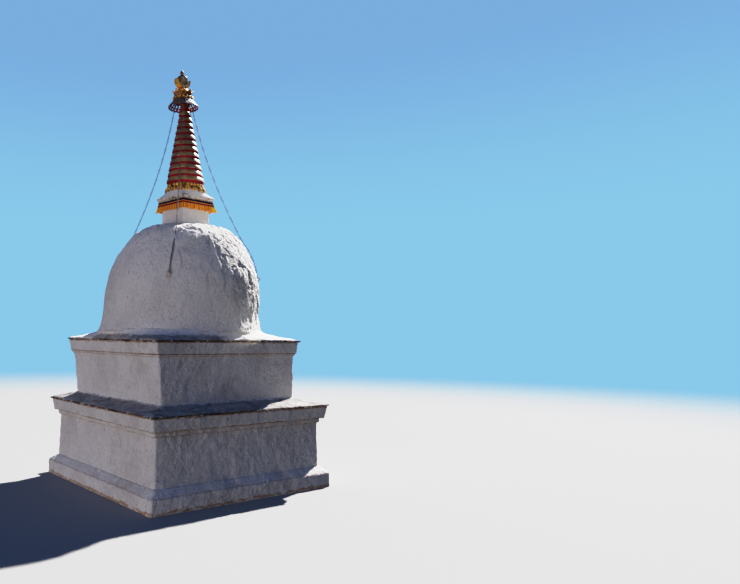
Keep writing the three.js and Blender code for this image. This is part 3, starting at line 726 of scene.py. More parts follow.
def ledge_relief(points):
    return 0.010 * rough(points, 0.35, 2, seed=41) + 0.006 * rough(points, 0.10, 2, seed=47)


def dome_relief(points):
    """Plaster laid on downwards, so its strokes run longer down the dome than across it."""
    lie = along_dome(points)
    lively = np.maximum(0.7 * np.clip((points[..., 2] - 3.9) / 0.9, 0, 1), sunny_side(points))
    coats = 0.0080 * laps(lie, (0.27, 0.27, 0.42), 9.0, seed=23)
    coats = coats + 0.0070 * laps(lie, (0.11, 0.11, 0.18), 8.0, seed=29)
    coats = coats + 0.0055 * rough(lie, (0.052, 0.052, 0.085), 2, seed=31)
    return 0.008 * rough(points, 1.1, 2, seed=5) + coats * mix(0.24, 1.0, lively) - dome_slack(points)


def along_dome(points):
    """Coordinates that lie on the dome: two across its fall, and how far down it a point is."""
    z = points[..., 2:]
    plan = points[..., :2] - SHIFT_WAY * dome_shift(np.clip(z, *heights("dome")))
    radius = np.linalg.norm(plan, axis=-1, keepdims=True)
    return np.concatenate((plan * 0.5 * (1 + DOME_RADIUS / radius), z + DOME_RADIUS - radius), axis=-1)


def sunny_side(points, middle=(0.0, 0.0)):
    """How far points lie on the side that faces the sun, from 0 to 1."""
    bearing = np.arctan2(points[..., 0] - middle[0], points[..., 1] - middle[1])
    return np.clip(0.55 + 1.1 * np.cos(bearing - math.radians(KEY_AZIMUTH + 18)), 0, 1)


def dome_slack(points):
    """How far the dome lies inside its even shape, at its crown and in a few broad patches."""
    bearing = np.degrees(np.arctan2(points[..., 1], points[..., 0]))
    slack = 0.030 * np.clip((points[..., 2] - 5.20) / 0.16, 0, 1)
    for depth, towards, z, half_width, half_height in DOME_PATCHES:
        away = (bearing - towards + 180) % 360 - 180
        rise = points[..., 2] - z
        slack = slack + depth * np.exp(-(away / half_width) ** 2 - (rise / half_height) ** 2)
    return slack


def plastered(node, rows, finish, relief=wall_relief, most=1.0, kind="plaster", slot="whitewash", **more):
    """A masonry solid whose skin follows a relief, which the finish can also read."""
    push = np.minimum(relief(rows), most)
    facts = {key: values.reshape(-1, 3) if values.ndim == 3 else values.ravel()
             for key, values in more.items()}
    add_piece(f"{node.replace('terrace_', '')}_{kind}", stack(pushed(rows, push)), [finish], slot, node,
              relief=(push / np.abs(push).max()).ravel(), **facts)


def base_step():
    """The lowest step, with a sloped top up to the wall."""
    foot, head = heights("base_step")
    skin_side = STEP_SIDE - 2 * STEP_ROOM
    finish = whitewash("step_whitewash", stains=((0.03, 0.05, 0.9), (STEP_EDGE_Z, 0.02, 0.5)), dirt=0.8)
    rows = square_rows([
        (skin_side, foot),
        (skin_side, STEP_EDGE_Z - 0.01),
        (LOWER_WALL_SIDES[0] + LEDGE_INSET, head),
        (LOWER_WALL_SIDES[0] - LEDGE_INSET, head),
    ])
    plastered("base_step", rows, finish, step_relief, most=STEP_ROOM * 0.9)


def lower_terrace():
    foot, wall_top = heights("lower_terrace_wall")
    fillet_top = heights("lower_terrace_fillet")[1]
    slate_foot = heights("lower_terrace_slates")[0]
    stains = ((fillet_top + 0.004, 0.024, 1.0), (wall_top + 0.004, 0.014, 0.9),
              (slate_foot - 0.012, 0.028, 0.9))
    finish = whitewash("lower_whitewash", stains, dirt=0.55)
    inner = LOWER_WALL_SIDES[1] - LEDGE_INSET
    profiles = {
        "wall": [(LOWER_WALL_SIDES[0], foot - TUCK), (LOWER_WALL_SIDES[1], wall_top + TUCK)],
        "fillet": [(inner, wall_top), (LOWER_FILLET_SIDE, wall_top),
                   (LOWER_FILLET_SIDE, fillet_top + TUCK)],
        "cornice": [(inner, fillet_top), (LOWER_CORNICE_SIDES[0], fillet_top),
                    (LOWER_CORNICE_SIDES[1], slate_foot), (inner, slate_foot + CORNICE_SLOPE)],
    }
    for part, levels in profiles.items():
        plastered(f"lower_terrace_{part}", square_rows(levels), finish)
    slates("lower", LOWER_CAP_SIDE, LOWER_SLABS)
    seat = rounded_square(UPPER_WALL_SIDES[0] - LEDGE_INSET, PLASTER_CORNER, rim_count(LOWER_CAP_SIDE),
                          UPPER_TURN) + SHIFT_WAY * UPPER_FOOT_SHIFT
    ledge("lower", LOWER_CAP_SIDE, seat, heights("lower_terrace_ledge")[1], lower_splash, fillet=0.030)


def upper_terrace():
    foot, wall_top = heights("upper_terrace_wall")
    slate_foot = heights("upper_terrace_slates")[0]
    cavetto = wall_top - CAVETTO_HEIGHT
    waist_shift = mix(UPPER_FOOT_SHIFT, UPPER_HEAD_SHIFT, UPPER_WAIST)
    stains = ((wall_top + 0.002, 0.017, 1.0), (wall_top - 0.038, 0.010, 0.8),
              (slate_foot - 0.012, 0.028, 0.9))
    finish = whitewash("upper_whitewash", stains, dirt=0.5)
    inner = UPPER_WALL_SIDES[2] - LEDGE_INSET
    profiles = {
        "wall": [
            (UPPER_WALL_SIDES[0], foot - TUCK, UPPER_FOOT_SHIFT),
            (UPPER_WALL_SIDES[1], mix(foot, cavetto, UPPER_WAIST), waist_shift),
            (UPPER_WALL_SIDES[2], cavetto),
            (UPPER_CORNICE_SIDES[0] - 0.016, wall_top),
        ],
        "cornice": [
            (inner, wall_top),
            (UPPER_CORNICE_SIDES[0], wall_top),
            (UPPER_CORNICE_SIDES[1], slate_foot, UPPER_CAP_SHIFT),
            (inner, slate_foot + CORNICE_SLOPE, UPPER_CAP_SHIFT),
        ],
    }
    for part, levels in profiles.items():
        plastered(f"upper_terrace_{part}", square_rows(levels, UPPER_TURN, UPPER_HEAD_SHIFT), finish)
    slates("upper", UPPER_CAP_SIDE, UPPER_SLABS, UPPER_TURN, UPPER_CAP_SHIFT)
    dome_foot = heights("dome")[0]
    seat = circle(dome_radius(dome_foot) - LEDGE_INSET / 2, rim_count(UPPER_CAP_SIDE))
    seat = seat + SHIFT_WAY * DOME_FOOT_SHIFT
    ledge("upper", UPPER_CAP_SIDE, seat, dome_foot, upper_splash, 0.050, UPPER_TURN, UPPER_CAP_SHIFT)


def lower_splash(points, across):
    """Lime runs down from the wall, and lies in flecks along the slates."""
    near_wall = np.clip((across - 0.80) / 0.15, 0, 1)
    return 0.22 + 0.45 * near_wall + 0.22 * np.clip(noise(points, 0.5, 59), 0, 1)


def upper_splash(points, across):
    """The ledge is limewashed as painted sunlight except at its front left, where dark mud is the painted
    shadow of the dome; towards the dome the fillet is limewashed all round.
    """
    # Painted shadow of the dome at the ledge's front left.
    painted_dome_shadow = np.clip((-0.10 - points[..., 0]) / 0.35, 0, 1) * np.clip((0.9 - points[..., 1]) / 0.5, 0, 1)
    return mix(0.95, 0.22, painted_dome_shadow) + 0.60 * np.clip((across - 0.44) / 0.28, 0, 1)


def rim_count(side):
    """How many points run round a ledge of this side."""
    return 4 * int(side / PLASTER_STEP)


def ledge(terrace, side, inner, top_z, splash_at, fillet, turn=0.0, shift=0.0):
    """Sloped mud from the slates' edge up to what stands on it, with a ragged rim and a fillet."""
    edge_z = heights(f"{terrace}_terrace_slates")[1]
    outer = rounded_square(side - LEDGE_INSET, PLASTER_CORNER, len(inner), turn) + SHIFT_WAY * shift
    width = np.linalg.norm(outer - inner, axis=1, keepdims=True)
    shares = np.linspace(0, 1, max(8, int(width.mean() / PLASTER_STEP) + 2))
    way = (inner - outer) / width
    ragged = way * (0.012 * rough(level(outer, edge_z), 0.14, 3, seed=53)[:, None] + 0.002)
    rows = [level(outer + ragged + way * 0.01, edge_z - LEDGE_LIP / 2)]
    for share in shares:
        rise = LEDGE_LIP * min(1.0, share * 9) + (top_z - edge_z - LEDGE_LIP) * share ** 1.2
        rise += fillet * max(0.0, (share - 1 + LEDGE_FILLET_SHARE) / LEDGE_FILLET_SHARE) ** 2
        rows.append(level(mix(outer, inner, share) + ragged * max(0.0, 1 - 8 * share), edge_z + rise))
    rows = np.array(rows)
    across = np.r_[0, shares][:, None] * np.ones(len(outer))
    plastered(f"{terrace}_terrace_ledge", rows, mud(), ledge_relief, kind="mud", slot="mud_weathering",
              splash=splash_at(rows, across))


def slates(terrace, side, count, turn=0.0, shift=0.0):
    """Rough slabs laid side by side along each edge, thin, chipped and a little uneven."""
    node = f"{terrace}_terrace_slates"
    random = np.random.default_rng(int(side * 1000))
    parts = []
    for k in range(4):
        lengths = random.uniform(0.6, 1.5, count)
        ends = np.r_[0, np.cumsum(lengths)] / lengths.sum() * side - side / 2
        for left, right in zip(ends, ends[1:]):
            slab = slab_rows(random, left + SLATE_GAP, right - SLATE_GAP, side / 2, *heights(node))
            parts.append(placed(stack(slab), math.radians(90 * k + turn), shift))
    add_piece(f"{terrace}_slates", joined(parts), [slate()], "slate", node, smooth=False)


def slab_rows(random, left, right, reach, foot, cap):
    """One slate: a ragged outline in three layers, the middle one proudest."""
    at_start, at_end = left < -reach + 2 * SLATE_GAP, right > reach - 2 * SLATE_GAP
    edge = reach - 0.014 + random.uniform(-0.020, 0.018) + random.uniform(-0.011, 0.011, SLATE_POINTS)
    back_right = (right - (SLATE_DEPTH if at_end else SLATE_GAP), reach - SLATE_DEPTH)
    back_left = (left + (SLATE_DEPTH if at_start else SLATE_GAP), reach - SLATE_DEPTH)
    front = zip(np.linspace(left, right, SLATE_POINTS), np.minimum(edge, reach + 0.006))
    outline = np.array([*front, back_right, back_left])
    thick = (cap - foot) * random.uniform(0.45, 1.0)
    base = foot + (cap - foot - thick) * random.uniform(0.0, 1.0)
    tilt, sag = random.uniform(-0.008, 0.008), random.uniform(-0.012, 0.002)
    rows = []
    for share, proud in ((0.0, -0.007), (0.45, 0.0), (1.0, -0.006)):
        x, y = outline.T.copy()
        y[:SLATE_POINTS] += proud + random.uniform(-0.004, 0.004, SLATE_POINTS)
        chipped = np.r_[random.uniform(-0.003, 0.003, SLATE_POINTS), 0, 0]
        z = base + sag * (y > reach / 2) + thick * share + tilt * (x - left) / (right - left) + chipped
        rows.append(np.column_stack((x, -y, z)))
    return np.array(rows)


def dome_radius(z):
    """The dome's radius at one height."""
    if z < DOME_BELLY_Z:
        return DOME_RADIUS + DOME_FLARE * (DOME_BELLY_Z - z) ** 2
    if z > DOME_SHOULDER_Z:
        share = (z - DOME_SHOULDER_Z) / (heights("dome")[1] - DOME_SHOULDER_Z)
        return mix(dome_radius(DOME_SHOULDER_Z), DOME_HEAD_RADIUS, share)
    rise = (z - DOME_BELLY_Z) / DOME_RISE
    return DOME_RADIUS * (1 - rise ** DOME_SQUARENESS) ** (1 / DOME_SQUARENESS)


def dome_shift(z):
    """How far the dome's axis is shifted at a height."""
    foot, head = heights("dome")
    return mix(DOME_FOOT_SHIFT, DOME_HEAD_SHIFT, (z - foot) / (head - foot))


def dome():
    foot, head = heights("dome")
    profile = [(2 * dome_radius(z), z, dome_shift(z)) for z in np.linspace(foot - TUCK, head, 200)]
    profile.append((2 * DOME_TOP_RADIUS, head + 0.005, dome_shift(head)))
    levels = softened(resampled(profile, DOME_STEP), 2)
    levels[:, 0] /= 2
    rows = round_rows(levels, int(math.tau * DOME_RADIUS / DOME_STEP))
    finish = whitewash("dome_whitewash", dirt=0.28, stains=((foot + 0.01, 0.02, 0.5),), coarse=0.026,
                       lie=True)
    plastered("dome", rows, finish, dome_relief, rust=rust_under_stays(rows), lie=along_dome(rows),
              sunny=sunny_side(rows))


def rust_under_stays(rows):
    """Rust round the eye that each stay ends in, and in a streak that fades down the dome."""
    drop = ANCHOR_Z - rows[..., 2]
    stained = np.zeros(rows.shape[:2])
    for angle in stay_angles():
        way = level_way(angle)
        seat = SHIFT_WAY * dome_shift(ANCHOR_Z) + way * dome_radius(ANCHOR_Z)
        across = np.abs((rows[..., 0] - seat[0]) * -way[1] + (rows[..., 1] - seat[1]) * way[0])
        fade = 0.75 * (1 - np.clip(drop / 0.35, 0, 1)) ** 2
        streak = np.exp(-(across / 0.035) ** 2) * np.where(drop > 0, fade, 0)
        ring = np.exp(-((across / 0.055) ** 2 + ((0.02 - drop) / 0.07) ** 2))
        near = rows[..., :2] @ way > 0
        stained = np.maximum(stained, near * np.maximum(streak, 0.9 * ring))
    return stained


def harmika():
    """The square block on the dome: a neck with a corbelled head, and a cornice under the lotus."""
    foot, head = heights("harmika_neck")
    corbel = head - CORBEL_HEIGHT
    rows = square_rows([
        (NECK_FOOT_SIDE + 0.06, foot - 3 * TUCK),
        (NECK_FOOT_SIDE, foot + 0.02),
        (NECK_SIDE, mix(foot, corbel, 0.3)),
        (NECK_SIDE, mix(foot, corbel, 0.8)),
        (CORBEL_SIDE, corbel),
        (CORBEL_SIDE, head),
    ], HARMIKA_TURN, HARMIKA_SHIFT, HARMIKA_STEP, softness=4)
    plastered("harmika_neck", rows, whitewash("harmika_whitewash", dirt=0.15), neck_relief)
    foot, head = heights("harmika_cornice")
    rows = square_rows([
        (NECK_SIDE, foot + 0.002),
        (CORNICE_SIDE - 0.045, foot),
        (CORNICE_SIDE - 0.022, foot + 0.02),
        (CORNICE_SIDE, foot + CORNICE_FACE - 0.012),
    ], HARMIKA_TURN, HARMIKA_SHIFT, HARMIKA_STEP, HARMIKA_CORNER)
    face = len(rows)
    lotus_seat = circle(LOTUS_RADIUS - 0.034, rows.shape[1], FIRST_CORNER + HARMIKA_TURN)
    lotus_seat = level(lotus_seat, head - 0.005, SPIRE_FOOT_SHIFT)
    slope = [mix(rows[-1], lotus_seat, share) for share in np.linspace(0, 1, 14)[1:]]
    rows = softened(np.concatenate((rows, slope)))
    finish = whitewash("cornice_whitewash", dirt=0.2, stains=((foot + 0.012, 0.014, 0.9),), soiled=True)
    soiled = np.ones(rows.shape[:2]) * (np.arange(len(rows)) < face)[:, None]
    plastered("harmika_cornice", rows, finish, cornice_relief, soiled=soiled)


def valance():
    """Four lengths of cloth hung under the cornice, flat at the top and pleated below."""
    finish = cloth()
    foot, head = heights("valance_front")
    middle = SHIFT_WAY * HARMIKA_SHIFT
    u, v = np.meshgrid(np.linspace(-1, 1, VALANCE_PLEATS * 12 + 1), np.linspace(1, 0, 18))
    full = np.clip((v - 0.30) / 0.45, 0, 1) ** 0.8
    half = mix(VALANCE_TOP_SIDE, VALANCE_FOOT_SIDE, v) / 2
    for k, name in enumerate(SIDES):
        key = np.stack((u * 3, v * 0.0 + k * 5, v * 0.0), axis=-1)
        wave = np.sin(math.pi * VALANCE_PLEATS * u + 1.6 * noise(key, 0.35, 71))
        fold = np.sign(wave) * np.abs(wave) ** 0.8
        depth = full * (0.0095 + 0.004 * noise(key, 0.5, 73))
        flare = by_end(VALANCE_FLARES, k, u) * v ** 2 * np.abs(u) ** 8
        swing = 0.006 * full * noise(key, 1.1, 79)
        out = half - 0.007 + fold * depth + flare + swing
        along = u * (half - 0.003 + flare)
        hem = VALANCE_HEM * (noise(key, 0.25, 83) * v ** 3 + v ** 2 * np.abs(u) ** 6)
        z = mix(head - 0.001, foot + VALANCE_HEM, v) - hem
        c, s = level_way(math.radians(90 * k + HARMIKA_TURN))
        grid = np.stack((along * c + out * s + middle[0], along * s - out * c + middle[1], z), axis=-1)
        # How strongly each end shows the painted glow of sun through the cloth.
        end = by_end(VALANCE_PAINTED_GLOWS, k, u) * np.abs(u)
        down, fold, end = (np.tile(fact.ravel(), 2) for fact in (v, fold * full, end))
        piece = add_piece(f"valance_cloth_{name}", shell(grid, VALANCE_THICK), [finish], "valance_cloth",
                          f"valance_{name}", down=down, fold=fold, end=end)


def by_end(values, k, u):
    """A length of cloth's value at whichever of its two corners is nearer."""
    return np.where(u < 0, values[k], values[(k + 1) % 4])


# The spire.

def spire_shift(z):
    """How far the spire's leaning axis is shifted at a height."""
    foot, head = heights("spire_lotus")[0], heights("spire_collar")[0]
    return mix(SPIRE_FOOT_SHIFT, SPIRE_HEAD_SHIFT, (z - foot) / (head - foot))


def ring_radius(z):
    """The radius of the rings' common cone at a height."""
    first = sum(heights("spire_ring_01")) / 2
    last = sum(heights(f"spire_ring_{RING_COUNT:02d}")) / 2
    return mix(FIRST_RING_RADIUS, LAST_RING_RADIUS, (z - first) / (last - first))


def spire_rings(red, shaded):
    """Gold rings with red undersides. The top one lies in the umbrella's shade and is red all over:
    painted shade and a painted reflection of the umbrella's red inside.
    """
    # The gold pales towards the sun as a painted highlight.
    gold = flaking_paint("ring_gold", RING_GOLD, RING_BROWN, roughness=0.42, metallic=0.2, specular=0.8,
                         painted_highlight=RING_PAINTED_HIGHLIGHT)
    bore = RING_DEPTH + 0.004
    for k in range(1, RING_COUNT + 1):
        node = f"spire_ring_{k:02d}"
        foot, head = heights(node)
        middle = ring_radius((foot + head) / 2)
        under = foot + 0.009
        profile = [
            (foot + 0.003, -bore), (under - 0.003, 0.001), (under, 0.010), (under + 0.008, 0.012),
            (mix(foot, head, 0.42), 0.006), (mix(foot, head, 0.78), -0.003),
            (head - 0.008, -0.010), (head - 0.002, -0.018), (head + 0.002, -bore - 0.006),
        ]
        rows = round_rows([(middle + out, z, spire_shift(z)) for z, out in profile], RING_SIDES)
        skin = pushed(rows, 0.0040 * rough(rows, 0.10, 3, seed=90 + k))
        zones = np.repeat((1, 0, 1), (2 * RING_SIDES, 5 * RING_SIDES, 2 * RING_SIDES))
        sunny = sunny_side(rows, SHIFT_WAY * spire_shift(foot)).ravel()
        face = shaded if k == RING_COUNT else gold
        add_piece(f"ring_{k:02d}", stack(skin, "ring"), [face, red], "ochre_paint", node, zones=zones,
                  sunny=sunny)


def spire_core(finish):
    low, high = heights("spire_core")
    levels = [(ring_radius(z) - RING_DEPTH, z, spire_shift(z)) for z in np.linspace(low, high, 60)]
    rows = round_rows(levels, count=80)
    skin = pushed(rows, 0.002 * rough(rows, 0.08, 2, seed=97))
    add_piece("spire_core_paint", stack(skin), [finish], "crimson_paint", "spire_core")


def spire_collar(finish):
    low, high = heights("spire_collar")
    levels = [(COLLAR_RADIUS - 0.006, low), (COLLAR_RADIUS, low + 0.008), (COLLAR_RADIUS, high - 0.012),
              (COLLAR_RADIUS - 0.008, high)]
    rows = round_rows(levels, count=64, shift=SPIRE_HEAD_SHIFT)
    add_piece("spire_collar_ring", stack(rows), [finish], "gilt_clay", "spire_collar")


def spire_lotus(finish):
    """Broad petals in relief, each with a pair of scrolls, over the cornice's whitewash."""
    foot, head = heights("spire_lotus")
    around = turns(LOTUS_PETALS * 34)
    plan = circle(1, len(around), start=0)
    rows, carved, bare = [], [], []
    for share in np.linspace(0, 1, 26):
        relief, inside = petal_relief(around, share)
        radius = LOTUS_RADIUS - LOTUS_CARVING - 0.020 * share ** 3 + LOTUS_CARVING * relief
        rows.append(level(plan * radius[:, None], mix(foot, head, share), SPIRE_FOOT_SHIFT))
        carved.append(relief * 2 - 1)
        bare.append((1 - inside) * max(0.0, 1 - share / 0.55))
    rows.append(level(plan * (LOTUS_RADIUS - 0.09), head + 0.002, SPIRE_FOOT_SHIFT))
    carved.append(np.full(len(around), -1.0))
    add_piece("spire_lotus_petals", stack(np.array(rows)), [finish], "gilt_clay", "spire_lotus",
              relief=np.concatenate(carved), bare=np.concatenate(bare))


def petal_relief(around, share):
    """How far a petal stands out along its height, from 0 to 1, and where it is at all."""
    across = (around / math.tau * LOTUS_PETALS + 0.12) % 1.0 * 2 - 1
    half = 0.95 - 0.22 * (2 * share - 0.9) ** 2
    inside = np.clip((half - np.abs(across)) / 0.10, 0, 1)
    near = np.abs(across) - 0.46
    away = np.hypot(near * 1.9, (share - 0.50) * 1.35)
    groove = 0.5 + 0.5 * np.cos(math.tau * away / 0.36 - np.arctan2(share - 0.50, near * 1.4))
    scroll = np.where(away < 0.62, 0.45 + 0.55 * groove ** 0.7, 0.80)
    spine = 1 - 0.45 * np.exp(-(across / 0.07) ** 2)
    return inside * scroll * spine, inside


def bead_row(name, node, slot, finish, band, sides, shift, bead_at, bead, count, start, reliefs):
    """Balls set side by side on a band, the first a share of a place round from the right."""
    parts = [stack(round_rows(band, sides, shift))]
    for k in range(count):
        parts.append(placed(ellipsoid(bead_at, bead), math.tau * (k + start) / count, shift))
    facts = [np.full(len(part[0]), reliefs[min(k, 1)]) for k, part in enumerate(parts)]
    add_piece(name, joined(parts), [finish], slot, node, relief=np.concatenate(facts))


def spire_beads(finish):
    low, high = heights("spire_beads")
    radius = LOTUS_RADIUS - SPIRE_BEAD_INSET
    band = [(radius - 0.02, low), (radius + 0.006, low + 0.006), (radius - 0.004, low + 0.016),
            (radius - 0.012, high - 0.010), (radius - 0.004, high - 0.004), (radius - 0.02, high)]
    bead_row("spire_bead_row", "spire_beads", "gilt_clay", finish, band, 72, SPIRE_FOOT_SHIFT,
             bead_at=(radius, 0, mix(low, high, 0.52)), bead=SPIRE_BEAD_SIZE, count=SPIRE_BEADS,
             start=0.3, reliefs=(-0.8, 0.6))


# The umbrella.

def canopy_slope():
    """The canopy's length down its slope."""
    rim_z, crown_z = heights("umbrella_canopy")
    return math.hypot(UMBRELLA_RADIUS - UMBRELLA_CROWN_RADIUS, crown_z - rim_z)


def cone_place(u, down):
    """A point on the canopy: u cells round it, down metres along its slope from the crown's edge."""
    rim_z, crown_z = heights("umbrella_canopy")
    down = np.array(down)
    share = np.clip(down / canopy_slope(), 0, 1)
    over = np.maximum(down - canopy_slope(), 0)
    radius = mix(UMBRELLA_CROWN_RADIUS, UMBRELLA_RADIUS - 0.001, share) + np.minimum(down, 0)
    turn = math.tau * np.array(u) / UMBRELLA_CELLS
    middle = SHIFT_WAY * UMBRELLA_SHIFT
    return np.stack((middle[0] + radius * np.cos(turn), middle[1] + radius * np.sin(turn),
                     mix(crown_z, rim_z, share) - over), axis=-1)


def pierced_cell(u, top, foot, hole_reach, power):
    """A piece of the canopy with a hole in its middle: round, or squarer for a lower power."""
    edge = np.linspace(-0.5, 0.5, HOLE_SIDES + 1)
    steps = np.linspace(top, foot, HOLE_SIDES + 1)
    end = np.full(HOLE_SIDES, 0.5)
    across = np.concatenate((edge[:-1], end, -edge[:-1], -end))
    height = np.concatenate((np.full(HOLE_SIDES, top), steps[:-1], np.full(HOLE_SIDES, foot),
                             steps[::-1][:-1]))
    middle = (top + foot) / 2
    reach = np.linalg.norm(cone_place(0.0, height)[:, :2] - SHIFT_WAY * UMBRELLA_SHIFT, axis=1)
    pitch = math.tau * reach / UMBRELLA_CELLS
    ways = np.arctan2(height - middle, across * pitch)
    hole_x, hole_y = (np.sign(way) * np.abs(way) ** power for way in (np.cos(ways), np.sin(ways)))
    rows = [cone_place(u + mix(across, HOLE_HALF_WIDTH * hole_x / pitch, share),
                       mix(height, middle + hole_reach * hole_y, share))
            for share in (0.0, 0.5, 0.85, 1.0)]
    return stack(np.array(rows)[::-1], "open")


def canopy_sheet(pale, red):
    """The pierced canopy: a slot and a round hole in each of its cells, and a plain crown."""
    slope = canopy_slope()
    slot_foot = slope - SLOT_FOOT_ABOVE_RIM
    slot_reach = (slot_foot - SLOT_TOP) / 2 - SLOT_MARGIN
    parts = []
    for k in range(UMBRELLA_CELLS):
        parts.append(pierced_cell(k, SLOT_TOP, slot_foot, slot_reach, power=2 / 2.6))
        parts.append(pierced_cell(k, slot_foot, slope, HOLE_RADIUS, power=1.0))
        u = np.linspace(k - 0.5, k + 0.5, HOLE_SIDES + 1)
        rows = [cone_place(u, np.full(len(u), down)) for down in (SLOT_TOP, 0.0, -0.06, -0.12)]
        parts.append(open_grid(np.array(rows)))
    umbrella_sheet("umbrella_pierced_canopy", parts, [pale, red], "pale_metal", "umbrella_canopy")


def fringe(pale, red):
    """Scalloped tongues that hang from the canopy's rim."""
    low, high = heights("umbrella_fringe")[0], heights("umbrella_canopy")[0]
    across = np.linspace(-0.5, 0.5, 13)
    depth = 0.006 + (high - low - 0.006) * np.sqrt(np.maximum(1 - (2 * across) ** 2, 0))
    parts = [open_grid(np.array([cone_place(k + across, canopy_slope() + depth * share)
                                 for share in (1.0, 0.5, 0.0)])) for k in range(UMBRELLA_CELLS)]
    umbrella_sheet("umbrella_scallops", parts, [pale, red], "red_metal", "umbrella_fringe")


def umbrella_sheet(name, parts, finishes, slot, node):
    """Joins cells into one sheet, darkened away from the sun as painted shade, with a thickness inwards,
    red inside.
    """
    points, faces = joined(parts)
    # Painted shade: the sheet darkens away from the sun.
    rightward = (points[:, :2] - SHIFT_WAY * UMBRELLA_SHIFT) @ SHIFT_WAY
    piece = add_piece(name, (points, faces), finishes, slot, node,
                      soot=np.clip(1 - (rightward - 0.01) / 0.09, 0, 1))
    piece.modifiers.new("weld", "WELD").merge_threshold = 0.0008
    sheet = piece.modifiers.new("sheet", "SOLIDIFY")
    sheet.thickness = UMBRELLA_SHEET
    sheet.offset = -1.0
    sheet.material_offset = sheet.material_offset_rim = 1


# The finial.

def finial_beads(finish):
    low, high = heights("finial_beads")
    radius = BEAD_RADIUS - FINIAL_BEAD_SIZE[0]
    band = [(radius - 0.02, low), (radius + 0.016, low + 0.004), (radius + 0.012, low + 0.012),
            (radius, low + 0.02), (radius, high - 0.016), (radius + 0.008, high - 0.008),
            (radius - 0.02, high)]
    bead_row("finial_bead_ring", "finial_beads", "gilt_metal", finish, band, 64,
             mix(UMBRELLA_SHIFT, FINIAL_SHIFT, 0.5), bead_at=(radius, 0, mix(low, high, 0.5)),
             bead=FINIAL_BEAD_SIZE, count=FINIAL_BEADS, start=0.0, reliefs=(-0.7, 0.7))


def curling_petal(turn, foot, tip, half_width):
    """One petal that rises and curls outwards from its foot to its tip, each a (radius, z) place."""
    u, v = np.meshgrid(np.linspace(-1, 1, 9), np.linspace(0, 1, 14))
    width = half_width * (0.62 + 0.38 * np.sin(math.pi * np.minimum(v * 1.25, 1))) * (1 - v ** 4) ** 0.6
    x = mix(foot[0], tip[0], v ** 1.6) - 0.018 * u ** 2 * (0.4 + 0.6 * v)
    z = mix(foot[1], tip[1], v ** 0.9) + 0.010 * u ** 2 * v * (1 - v)
    grid = np.stack((x, u * np.maximum(width, 0.006), z), axis=-1)
    return placed(shell(grid, PETAL_THICK), turn, FINIAL_SHIFT)


def finial_lotus():
    """Two rings of curling petals round a core, the inner ones set between the outer ones."""
    low, high = heights("finial_lotus")
    core = [(0.150, low), (0.172, low + 0.010), (0.160, low + 0.03), (0.150, low + 0.06),
            (0.135, high - 0.05), (0.110, high - 0.02), (0.095, high)]
    parts = [stack(round_rows(core, count=48, shift=FINIAL_SHIFT))]
    for k in range(FINIAL_PETALS):
        turn = math.tau * (k + 0.35) / FINIAL_PETALS
        parts.append(curling_petal(turn, (0.172, low + 0.004),
                                   (FINIAL_TIP_RADIUS - 0.003, FINIAL_TIP_Z + 0.006), 0.086))
        parts.append(curling_petal(turn + math.pi / FINIAL_PETALS, (0.150, low + 0.01),
                                   (0.172, FINIAL_TIP_Z - 0.004), 0.070))
    edges = [np.clip((part[0][:, 2] - mix(low, high, 0.25)) / (0.35 * (high - low)), 0, 1)
             for part in parts]
    edges[0][:] = 0
    add_piece("finial_lotus_petals", joined(parts), [petal_copper()], "red_metal", "finial_lotus",
              edge=np.concatenate(edges))


def crescent(rim, face):
    """A deep crescent: gilt on its rim and dull on its two flat sides."""
    foot = heights("crescent_moon")[0]
    middle_z = foot + CRESCENT_RADIUS * math.cos(math.asin(CRESCENT_FOOT / 2 / CRESCENT_RADIUS))
    bite_z = CRESCENT_BITE_RADIUS - CRESCENT_RADIUS + CRESCENT_THICK
    middle = SHIFT_WAY * MOON_SHIFT
    half = CRESCENT_DEPTH / 2
    rows = []
    for angle in np.linspace(math.pi - HORN_ANGLE, math.tau + HORN_ANGLE, 49):
        c, s = level_way(angle)
        outer = min(CRESCENT_RADIUS, (foot - middle_z) / s) if s < 0 else CRESCENT_RADIUS
        along = bite_z * s
        inner = along + math.sqrt(max(CRESCENT_BITE_RADIUS ** 2 - bite_z ** 2 + along ** 2, 0))
        inner = min(inner, outer - 0.004)
        soft = min(0.010, (outer - inner) / 3)
        section = [(inner + soft, -half), (outer - soft, -half), (outer, -half + soft), (outer, 0.0),
                   (outer, half - soft), (outer - soft, half), (inner + soft, half), (inner, half - soft),
                   (inner, 0.0), (inner, -half + soft)]
        rows.append([(middle[0] + r * c, middle[1] + d, middle_z + r * s) for r, d in section])
    sides = len(section)
    zones = [int(k % sides in (0, sides // 2)) for k in range((len(rows) - 1) * sides)]
    zones += [0] * (2 * sides)
    add_piece("crescent_gilt", stack(np.array(rows)), [rim, face], "gilt_metal", "crescent_moon",
              smooth=False, zones=zones)


def sun(rim, face):
    """A thick disc standing in the crescent, with a raised rim and a groove round its face."""
    low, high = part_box("sun_disc")
    centre = (low + high) / 2
    half = SUN_DEPTH / 2
    front = [(0.060, half - 0.006), (0.078, half - 0.012), (0.084, half - 0.016), (0.090, half - 0.006),
             (0.098, half), (SUN_RADIUS - 0.003, half - 0.002), (SUN_RADIUS, half - 0.010)]
    profile = [*((r, -d) for r, d in front), (SUN_RADIUS, 0.0), *front[::-1]]
    around = turns(SUN_SIDES)
    rows = [np.column_stack((centre.x + r * np.sin(around), np.full(SUN_SIDES, centre.y + d),
                             centre.z + r * np.cos(around))) for r, d in profile]
    zones = [int(not 3 <= k <= 8) for k in range(len(rows) - 1)] + [1, 1]
    add_piece("sun_gilt", stack(np.array(rows)), [rim, face], "gilt_metal", "sun_disc",
              zones=np.repeat(zones, SUN_SIDES))


